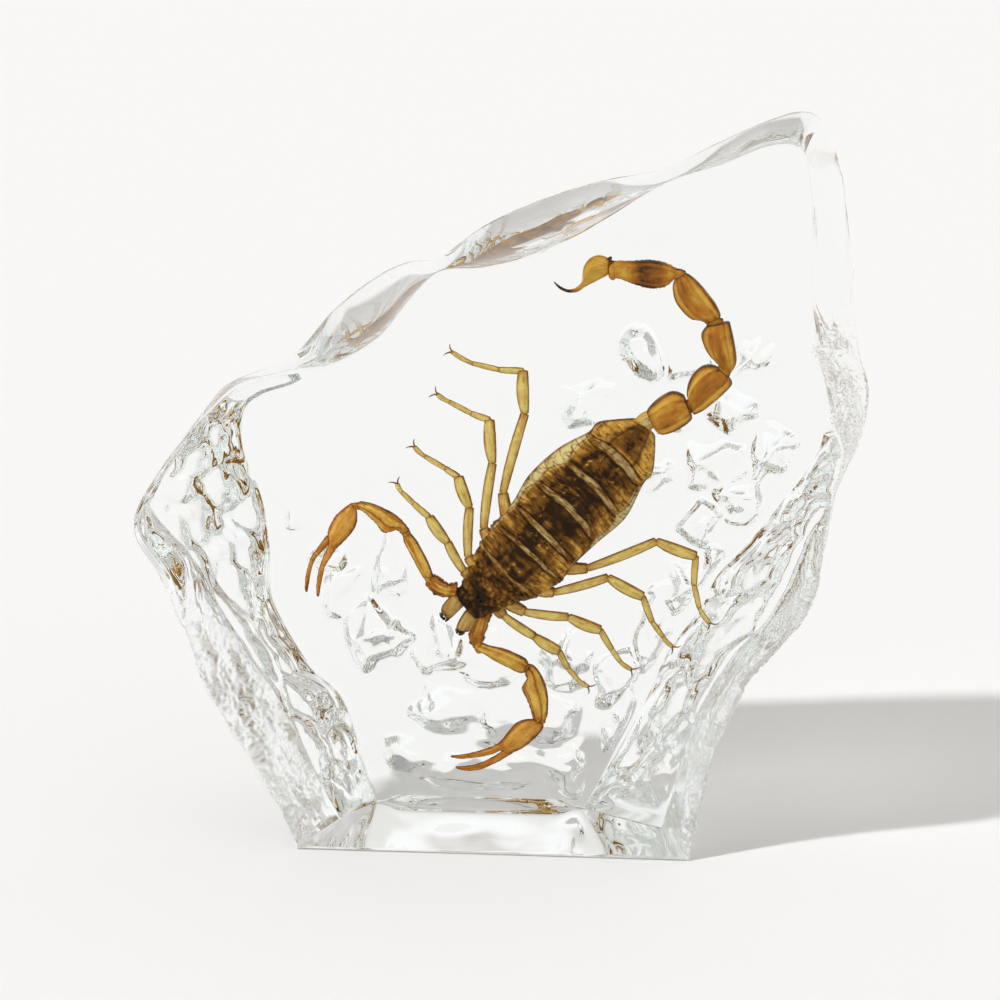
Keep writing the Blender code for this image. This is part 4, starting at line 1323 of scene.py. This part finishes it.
legShape = {
    "widths": (1.35, 1.1, 1.34, 0.80, 0.62, 0.56),
    "swell": (
        (0.85, 1.0, 1.0, 0.8),
        (0.75, 0.95, 1.0, 0.85),
        (0.6, 0.95, 1.0, 0.78),
        (0.75, 0.95, 0.9, 0.8),
        (0.85, 1.0, 0.95, 0.8),
        (0.8, 0.9, 1.0, 0.8),
    ),
    "knots": (0.3, 0.68),
    "overlap": 0.1,
    "bow": (0, 0.10, 0.14, 0.04, 0, 0.08),
    "accents": (0.8, 0.6, 1.0, 0.5, 0.4, 0.45),
    "heights": (0.0, 0.3, 0.6, 0.5, 0.2, 0.0, -0.1),
    # knots of a claw: ahead of the tip, aside and radius
    "claw": ((-0.1, 0, 0.13), (0.25, 0.35, 0.09), (0.5, 0.9, 0.06), (0.62, 1.5, 0.03)),
    "clawTurns": (0.55, -0.45),
    # knots of a leg's base: ahead of the first joint, height and radius
    "coxa": ((-1.3, 0.3, 0.9), (-0.3, 0.3, 0.85), (0.55, 0.2, 0.55)),
}
clawLook = {
    **tubeLook,
    "around": 8,
    "steps": 5,
    "blunt": 0.08,
    "shade": ((0, 0.6), (1, 1)),
    "rim": 0.2,
    "ends": 0,
}
coxaLook = {
    **tubeLook,
    "around": 30,
    "steps": 10,
    "thick": 0.9,
    "shade": ((0, 0.75), (0.5, 0.45), (1, 0.3)),
    "accent": ((0, 0.4), (1, 0.6)),
    "rim": 0.4,
    "ends": 0.2,
    "streaks": 0.3,
    "granules": 0.3,
    "granuleSize": 0.34,
}


def legSegment(number, start, end, outwards, seed):
    # A swelling body from joint to joint that bows outwards, 1 or -1, by a parabola.
    start, end = np.array(start), np.array(end)
    length = np.linalg.norm(end - start)
    across = np.array([start[1] - end[1], end[0] - start[0]]) / length * outwards
    low, high = legShape["heights"][number : number + 2]
    overlap = legShape["overlap"] / length
    knots = []
    for share, size in zip((-overlap, *legShape["knots"], 1 + overlap), legShape["swell"][number]):
        place = start + (end - start) * share + across * legShape["bow"][number] * 4 * share * (1 - share)
        radius = legShape["widths"][number] / 2 * size
        knots.append((place[0], -(low + (high - low) * share), place[1], radius))
    peak = legShape["accents"][number]
    base = 0.25 * (number == 0)  # the first segment is darker and rougher
    look = {
        **tubeLook,
        "granules": tubeLook["granules"] + 0.5 * base,
        "seed": seed * 7 + number * 3,
        "accentTurn": np.pi / 2 + 0.45 * outwards * (1 if number % 2 else -1),
        "shade": ((0, 0.4), (0.12, 0.1 + base), (0.6, 0.02 + base), (0.88, 0.1 + base), (1, 0.45)),
        "accent": ((0, 0.2), (0.25, peak * 0.5), (0.6, peak), (0.92, peak * 0.8), (1, 0.1)),
    }
    return tube(knots, look)


def clawShell(before, tip, turn, seed):
    # One of the two hooks at the end of a leg.
    tip = np.array(tip)
    ahead = (tip - before) / np.linalg.norm(tip - before)
    aside = np.array([-ahead[1], ahead[0]]) * turn
    knots = []
    for forwards, sideways, radius in legShape["claw"]:
        place = tip + forwards * ahead + sideways * aside
        knots.append((place[0], 0.1, place[1], radius))
    return tube(knots, {**clawLook, "seed": seed})


def coxaShell(joint, seed):
    # The leg's base: a granular body that runs from under the head shield to the leg's first joint.
    joint = np.array(joint)
    inside = np.array((0.4, 27.6 + 0.35 * (joint[1] - 26.0)))
    ahead = (joint - inside) / np.linalg.norm(joint - inside)
    knots = [(inside[0], -0.2, inside[1], 0.8)]
    for reach, height, radius in legShape["coxa"]:
        place = joint + reach * ahead
        knots.append((place[0], -height, place[1], radius))
    return tube(knots, {**coxaLook, "seed": seed * 5})


legShells = []
for seed, (name, joints) in enumerate(legs.items(), 1):
    outwards = 1 if "left" in name else -1
    for number, (start, end) in enumerate(zip(joints, joints[1:])):
        legShells.append(legSegment(number, start, end, outwards, seed))
    legShells += [clawShell(*joints[-2:], turn, seed) for turn in legShape["clawTurns"]]
    legShells.append(coxaShell(joints[0], seed))
scorpionPiece("legs", legShells, "legs")

# Pedipalps: each row is left (column, row) and right (column, row) of the limb in the photograph.

palps = {
    "leftCoxa": ((458.4, 583.0, 456.1, 598.0), (448.8, 584.5, 447.3, 597.0), (443.1, 581.1, 437.3, 595.6),
                 (436.4, 576.5, 429.3, 589.3), (433.1, 574.9, 425.1, 581.0)),
    "leftFemur": ((433.9, 576.9, 423.9, 578.4), (429.1, 563.8, 417.2, 566.7), (422.4, 550.1, 410.9, 554.6),
                  (415.9, 539.0, 404.8, 543.0), (410.4, 532.8, 402.9, 535.9)),
    "leftPatella": ((409.8, 530.9, 402.5, 534.4), (404.8, 523.3, 397.2, 529.4), (395.2, 514.1, 384.1, 532.1),
                    (383.8, 508.0, 376.5, 522.9), (372.3, 503.2, 370.0, 516.6), (362.7, 501.3, 363.1, 510.4),
                    (356.8, 502.8, 356.8, 508.4)),
    "leftHand": ((352.2, 502.5, 356.8, 509.2), (344.5, 507.6, 357.4, 518.5), (335.9, 515.6, 355.6, 526.1),
                 (330.2, 525.2, 350.3, 534.4), (327.7, 533.2, 342.0, 543.0), (328.7, 542.0, 335.5, 549.5),
                 (325.8, 551.0, 330.4, 557.7), (320.6, 563.1, 325.2, 565.9), (317.5, 576.8, 322.3, 578.2),
                 (316.4, 587.4, 320.4, 587.9), (317.0, 596.4, 319.1, 596.7)),
    "leftFinger": ((327.1, 534.1, 332.1, 541.0), (318.7, 546.0, 322.5, 550.8), (311.2, 557.3, 315.1, 559.4),
                   (307.2, 569.2, 311.4, 570.1), (305.1, 581.1, 309.1, 581.4), (305.1, 591.8, 307.6, 592.3)),
    "rightCoxa": ((477.0, 612.5, 492.8, 610.7), (472.1, 627.3, 488.2, 622.9), (468.6, 637.1, 484.6, 635.4),
                  (473.0, 646.1, 482.9, 641.6), (476.6, 650.0, 482.0, 647.0)),
    "rightFemur": ((474.8, 649.3, 482.0, 642.5), (483.8, 653.6, 491.8, 645.8), (495.4, 660.8, 503.9, 648.4),
                   (507.9, 667.0, 515.9, 653.2), (516.8, 671.5, 525.7, 658.6), (523.6, 672.9, 528.9, 663.6)),
    "rightPatella": ((524.7, 672.9, 530.6, 663.0), (527.1, 678.2, 537.3, 668.4), (522.3, 687.1, 544.5, 680.9),
                     (527.3, 697.9, 547.9, 694.3), (531.1, 708.6, 548.2, 705.0), (533.8, 718.4, 547.1, 715.7),
                     (535.5, 722.5, 543.6, 721.1)),
    "rightHand": ((537.3, 718.8, 544.1, 724.2), (525.7, 719.1, 541.8, 730.2), (515.9, 722.9, 534.6, 738.0),
                  (507.9, 731.8, 523.9, 747.0), (501.6, 739.8, 511.3, 752.3), (496.3, 744.3, 501.5, 750.2),
                  (488.2, 747.7, 491.8, 754.0), (473.9, 752.1, 476.6, 757.2), (461.4, 754.4, 462.3, 758.4),
                  (450.5, 755.2, 451.1, 757.3)),
    "rightFinger": ((508.8, 745.0, 517.9, 749.4), (498.9, 753.0, 502.5, 759.1), (488.0, 759.3, 491.8, 764.7),
                    (475.5, 764.3, 480.2, 769.3), (463.9, 766.1, 467.7, 770.8), (455.2, 766.3, 456.4, 768.8)),
}
palpLook = {
    "around": 36,
    "steps": 9,
    "thick": 0.8,
    "square": 1.0,
    "blunt": 0.16,
    "height": 0.0,  # how far the limb lies towards the viewer
    "keels": (),
    "keelHeight": 0.0,
    "keelShade": 0.0,
    "beads": 0.5,
    "granules": 0.1,
    "granuleSize": 0.32,
    "granuleShade": 0.25,
    "rim": 0.75,
    "rimStart": 0.66,
    "crest": 0.0,
    "crestWidth": 0.5,
    "ends": 0.45,
    "endWidth": 0.13,
    "streaks": 0.18,
    "shade": ((0, 0.4), (0.15, 0.1), (0.7, 0.04), (1, 0.4)),
    "accent": ((0, 0.1), (0.4, 0.5), (0.8, 0.4), (1, 0.1)),
}
palpKinds = {
    "Coxa": {
        "around": 48,
        "steps": 14,
        "height": -0.2,
        "keels": (60, 120),
        "keelHeight": 0.06,
        "keelShade": 0.3,
        "granules": 0.42,
        "granuleSize": 0.42,
        "streaks": 0.3,
        "shade": ((0, 0.5), (0.4, 0.25), (1, 0.5)),
    },
    "Femur": {
        "square": 0.85,
        "height": 0.1,
        "keels": (35, 75, 145),
        "keelHeight": 0.07,
        "keelShade": 0.45,
    },
    "Patella": {
        "square": 0.85,
        "height": 0.2,
        "keels": (30, 80, 130, 160),
        "keelHeight": 0.09,
        "keelShade": 0.55,
    },
    "Hand": {
        "steps": 8,
        "height": 0.1,
        "shade": ((0, 0.4), (0.08, 0.16), (0.3, 0.02), (0.45, 0.24), (0.85, 0.34), (1, 0.6)),
    },
    "Finger": {"shade": ((0, 0.5), (0.3, 0.28), (0.85, 0.34), (1, 0.6))},
}
palpJoints = (("Coxa", "Femur", 0.5), ("Femur", "Patella", 0.46), ("Patella", "Hand", 0.36))  # and radius
cuffLook = {
    **tubeLook,
    "around": 24,
    "steps": 10,
    "seed": 5,
    "shade": ((0, 0.5), (0.5, 0.25), (1, 0.5)),
    "accent": ((0, 0.4), (1, 0.4)),
    "granules": 0.12,
}


def palpShells(kinds):
    # The lofts of the named kinds of segment, on both sides.
    shells = []
    for seed, (name, pairs) in enumerate(palps.items()):
        kind = name.replace("left", "").replace("right", "")
        if kind in kinds:
            shells.append(loft(pairs, {**palpLook, **palpKinds[kind], "seed": 60 + seed}))
    return shells


def cuff(before, after, radius):
    # A short round joint between the last pair of one segment and the first pair of the next.
    start, end = photoPoint(np.reshape((before[-1], after[0]), (2, 2, 2))).mean(axis=1)
    reach = (end - start) / np.linalg.norm(end - start) * 0.55
    places = (start - reach, (start + end) / 2, end + reach)
    return tube([(*place, size * radius) for place, size in zip(places, (0.8, 1, 0.8))], cuffLook)


armShells = palpShells(("Coxa", "Femur", "Patella"))
for side in ("left", "right"):
    for before, after, radius in palpJoints:
        armShells.append(cuff(palps[side + before], palps[side + after], radius))
scorpionPiece("pedipalps", armShells, "arms")
scorpionPiece("pincers", palpShells(("Hand", "Finger")), "pincers")

# Chelicerae: blunt tan jaws with dark toothed tips.

jaws = {
    "left": ((455.2, 591.2, 466.4, 603.8), (446.5, 600.2, 459.0, 610.6), (441.8, 606.6, 453.2, 616.4),
             (440.9, 613.9, 448.9, 619.7)),
    "right": ((466.4, 608.6, 480.4, 614.6), (459.8, 618.7, 475.6, 624.0), (456.6, 625.9, 471.4, 630.2),
              (456.8, 629.9, 464.4, 633.2)),
}
jawLook = {
    **palpLook,
    "thick": 0.75,
    "square": 0.85,
    "blunt": 0.3,
    "height": -0.1,
    "granules": 0.0,
    "rim": 0.6,
    "ends": 0.4,
    "streaks": 0.2,
    "shade": ((0, 0.5), (0.2, 0.1), (0.75, 0.12), (0.92, 0.5), (1, 0.95)),
    "accent": ((0, 0), (1, 0)),
}
jawTeeth = (
    ((441.6, 612.6), (441.4, 615.6), (442.8, 618.4), (445.2, 619.9)),
    ((448.4, 616.6), (447.6, 619.0), (446.0, 620.8), (444.6, 621.2)),
    ((457.4, 628.6), (457.0, 630.6), (456.8, 632.4), (457.6, 634.2)),
    ((463.6, 631.4), (461.8, 633.6), (459.6, 634.6), (458.2, 635.2)),
    ((444.0, 617.0), (443.6, 619.2), (443.4, 620.4)),
    ((459.6, 631.0), (459.2, 632.6), (459.0, 633.8)),
)
jawShells = [loft(pairs, {**jawLook, "seed": 80 + seed}) for seed, pairs in enumerate(jaws.values())]
jawShells += [spike(pixels, 0.0, (0.26, 0.05)) for pixels in jawTeeth]
scorpionPiece("chelicerae", jawShells, "jaws")

# Eyes: two glossy beads on the mound.

eyes = {
    "places": ((478.8, 593.6), (482.4, 597.6)),
    "radius": 0.24,
    "height": 2.15,
    "knots": ((-1, 0.6), (0, 1), (1, 0.6)),  # along and across, in radii
    "look": {**toothLook, "around": 20, "blunt": 0.24, "thick": 1.0},
}


def bead(pixel):
    x, _, z = photoPoint(pixel)
    radius = eyes["radius"]
    knots = [(x + step * radius, -eyes["height"], z, size * radius) for step, size in eyes["knots"]]
    return tube(knots, eyes["look"])


eyeShells = [bead(pixel) for pixel in eyes["places"]]
scorpionPiece("eyes", eyeShells, "eyes")

# Tail: lopsided barrels with a dark crest, then the egg-shaped vesicle and the sting.

tail = {
    "first": ((645.9, 411.9, 654.4, 429.1), (650.8, 404.9, 661.8, 434.3), (660.7, 396.4, 673.3, 431.9),
              (671.9, 391.3, 683.8, 426.2), (681.7, 393.6, 691.3, 419.9), (685.9, 398.5, 692.4, 415.1)),
    "second": ((686.6, 395.4, 693.2, 415.1), (687.6, 385.2, 703.5, 410.3), (692.2, 374.7, 713.3, 402.8),
               (701.4, 366.3, 722.4, 395.0), (710.5, 364.6, 732.2, 383.4), (718.2, 367.0, 726.3, 374.0)),
    "third": ((721.0, 369.4, 730.8, 372.7), (717.1, 363.5, 735.0, 366.3), (708.4, 353.9, 736.7, 359.3),
              (702.8, 343.1, 735.3, 346.6), (701.4, 333.3, 732.8, 333.7), (706.7, 325.6, 729.4, 320.3)),
    "fourth": ((706.7, 324.5, 717.1, 319.3), (701.4, 320.5, 720.7, 315.5), (690.8, 318.6, 716.5, 304.8),
               (681.7, 310.4, 708.6, 294.0), (675.0, 300.3, 701.4, 285.2), (672.6, 287.0, 693.6, 277.6),
               (675.4, 277.6, 685.2, 272.3)),
    "fifth": ((675.8, 276.8, 679.6, 272.0), (669.8, 283.2, 671.9, 266.0), (662.1, 287.0, 661.4, 262.0),
              (650.8, 287.7, 650.1, 260.5), (638.9, 285.2, 638.9, 260.8), (627.7, 281.4, 627.7, 261.5),
              (617.9, 277.9, 618.6, 261.0), (611.6, 279.6, 612.3, 262.9), (607.9, 274.1, 607.6, 268.1)),
    "sting": ((608.9, 274.1, 608.9, 258.5), (604.8, 276.8, 603.1, 255.7), (600.3, 279.0, 596.8, 255.2),
              (595.0, 281.8, 589.1, 258.9), (589.4, 284.6, 583.8, 266.7), (585.6, 286.7, 582.5, 275.1),
              (582.4, 288.9, 581.6, 281.8), (578.6, 291.3, 577.8, 286.3), (573.7, 292.6, 573.0, 288.9),
              (566.7, 292.2, 566.7, 289.0), (559.2, 288.6, 559.8, 285.7), (553.5, 282.1, 553.9, 281.1)),
}
tailLook = {
    **palpLook,
    "around": 44,
    "steps": 10,
    "thick": 0.85,
    "square": 0.82,
    "blunt": 0.14,
    "keels": (30, 66, 114, 150, 210, 330),
    "keelHeight": 0.1,
    "keelShade": 0.3,
    "granules": 0.03,
    "granuleShade": 0.06,
    "rim": 0.68,
    "crest": 0.55,
    "crestWidth": 0.3,
    "ends": 0.62,
    "streaks": 0.24,
    "shade": ((0, 0.42), (0.12, 0.16), (0.5, 0.04), (0.85, 0.2), (1, 0.5)),
    "accent": ((0, 0.2), (0.5, 0.35), (1, 0.2)),
}
tailKinds = {
    "fifth": {
        "steps": 16,
        "keels": (0, 30, 66, 114, 150, 180),
        "keelHeight": 0.06,
        "keelShade": 0.1,
        "beads": 0.7,
        "granules": 0.12,
        "granuleShade": 0.3,
        "rim": 0.3,
        "crest": 0.1,
        "crestWidth": 0.5,
        "streaks": 0.25,
        "shade": ((0, 0.3), (0.12, 0.15), (0.25, 0.55), (0.5, 0.7), (0.62, 0.4), (0.75, 0.1), (1, 0.2)),
        "accent": ((0, 0), (1, 0)),
    },
    "sting": {
        "thick": 0.9,
        "square": 1.0,
        "keels": (),
        "granules": 0.0,
        "rim": 0.32,
        "crest": 0.12,
        "ends": 0.2,
        "streaks": 0.08,
        "shade": (
            (0, 0.3), (0.06, 0.12), (0.2, 0), (0.45, 0.06), (0.58, 0.25), (0.68, 0.6), (0.74, 1), (1, 1),
        ),
        "accent": ((0, 0.6), (0.15, 0.3), (0.5, 0.1), (0.6, 0.6), (1, 0)),
    },
}
tailSpikes = (
    ((606.6, 263.6), (608.6, 260.6), (610.6, 257.4), (611.0, 256.2)),
    ((607.4, 264.4), (609.6, 262.6), (611.8, 261.6), (613.8, 260.6)),
    ((606.4, 262.0), (607.6, 259.0), (608.4, 257.6)),
    ((607.2, 266.0), (609.2, 265.4), (611.0, 264.6)),
)
tailShells = []
for seed, (name, pairs) in enumerate(tail.items(), 90):
    tailShells.append(loft(pairs, {**tailLook, **tailKinds.get(name, {}), "seed": seed}))
segments = list(tail.values())[:-1]
tailShells += [cuff(before, after, 0.66) for before, after in zip(segments, segments[1:])]
tailShells += [spike(pixels, -0.1, (0.42, 0.06)) for pixels in tailSpikes]
scorpionPiece("tail", tailShells, "tail")

# The neck, pale skin between the last plate and the tail, goes with the trunk.

neck = ((630.0, 424.0, 643.0, 438.0), (636.5, 417.5, 649.5, 431.5), (641.5, 413.0, 653.5, 428.0),
        (647.5, 410.5, 656.5, 426.5), (652.5, 409.0, 660.0, 424.0))
neckLook = {
    **palpLook,
    "granules": 0.0,
    "granuleShade": 0.0,
    "rim": 0.12,
    "ends": 0.0,
    "streaks": 0.0,
    "shade": ((0, 0), (1, 0)),
    "accent": ((0, 1), (1, 1)),
    "seed": 97,
}
scorpionPiece("trunk", [trunkShell(), loft(neck, neckLook)], "trunk")
print("scorpion made")


# The studio: a pale floor, a soft key light from the left and a pale surround.

studio = {
    "floorSide": 6.0,
    "floorDrop": 0.0001,
    "floorWhite": 0.9,
    "floorRoughness": 0.9,
    "sunAzimuth": -50.0,
    "sunElevation": 50.0,
    "sunAngle": 3.5,
    "sunStrength": 1.8,
    "sunColour": (0.985, 0.995, 1.0),
    "bounces": 32,
    "turnOver": (-0.3, 0.4),  # where the surround goes from in front to behind, in y
    # the surround's colour from the horizon (0) to overhead (1), behind the object and behind the camera
    "behind": ((0.0, (1.0, 1.0, 1.0)), (0.15, (0.97, 0.97, 0.965)), (0.4, (0.76, 0.74, 0.715)),
               (0.7, (0.60, 0.58, 0.555)), (1.0, (0.55, 0.53, 0.51))),
    "before": ((0.0, (0.97, 0.965, 0.96)), (0.25, (0.86, 0.85, 0.835)), (0.5, (0.6, 0.585, 0.57)),
               (1.0, (0.48, 0.465, 0.45))),
}


def studioFloor():
    mesh = bpy.data.meshes.new("floor")
    side = studio["floorSide"] / 2
    corners = [(across * side, along * side, 0) for across, along in ((-1, -1), (1, -1), (1, 1), (-1, 1))]
    mesh.from_pydata(corners, [], [(0, 1, 2, 3)])
    floor = addObject("floor", mesh)
    floor.location.z = -studio["floorDrop"]
    material, tree, shader = newMaterial("paleFloor")
    shader.inputs["Base Color"].default_value = (*[studio["floorWhite"]] * 3, 1)
    shader.inputs["Roughness"].default_value = studio["floorRoughness"]
    shader.inputs["Specular IOR Level"].default_value = 0.0
    mesh.materials.append(material)


def standFacing(thing, place, back):
    # The object stands at the place and looks the way that is opposite to back.
    thing.location = place
    thing.rotation_mode = "QUATERNION"
    thing.rotation_quaternion = back.to_track_quat("Z", "Y")


def studioLight():
    light = bpy.data.lights.new("sun", "SUN")
    light.angle = math.radians(studio["sunAngle"])
    light.energy = studio["sunStrength"]
    light.color = studio["sunColour"]
    back = Vector(direction(studio["sunAzimuth"], studio["sunElevation"]))
    standFacing(addObject("sun", light), back, back)


def studioWorld():
    # Bright near the horizon, dimmer and warmer overhead and behind the camera.
    world = bpy.data.worlds.new("studio")
    world.use_nodes = True
    tree = world.node_tree
    looking = addNode(tree, "TexCoord").outputs["Generated"]
    parts = addNode(tree, "SeparateXYZ", {0: looking}).outputs
    behind = rampNode(tree, parts["Z"], studio["behind"])
    before = rampNode(tree, parts["Z"], studio["before"])
    low, high = studio["turnOver"]
    side = addNode(tree, "MapRange", {"Value": parts["Y"], "From Min": low, "From Max": high})
    colour = addNode(tree, "Mix", {0: side.outputs[0], 6: before, 7: behind}, data_type="RGBA")
    tree.links.new(colour.outputs[2], tree.nodes["Background"].inputs["Color"])
    bpy.context.scene.world = world


def studioCamera():
    data = bpy.data.cameras.new("camera")
    data.lens = camera["lens"]
    data.sensor_width = camera["sensor"]
    data.clip_start = 0.01
    back = Vector(direction(camera["azimuth"], camera["elevation"]))
    eye = addObject("camera", data)
    standFacing(eye, Vector(camera["target"]) + back * camera["distance"], back)
    bpy.context.scene.camera = eye


def lightPaths():
    # A ray may be reflected many times inside the block before it leaves, and one that is given up is black.
    paths = bpy.context.scene.cycles
    paths.max_bounces = studio["bounces"]
    paths.transmission_bounces = studio["bounces"]
    paths.glossy_bounces = studio["bounces"]


studioFloor()
studioLight()
studioWorld()
studioCamera()
lightPaths()
bpy.context.scene.view_settings.view_transform = "Standard"
print("studio made")
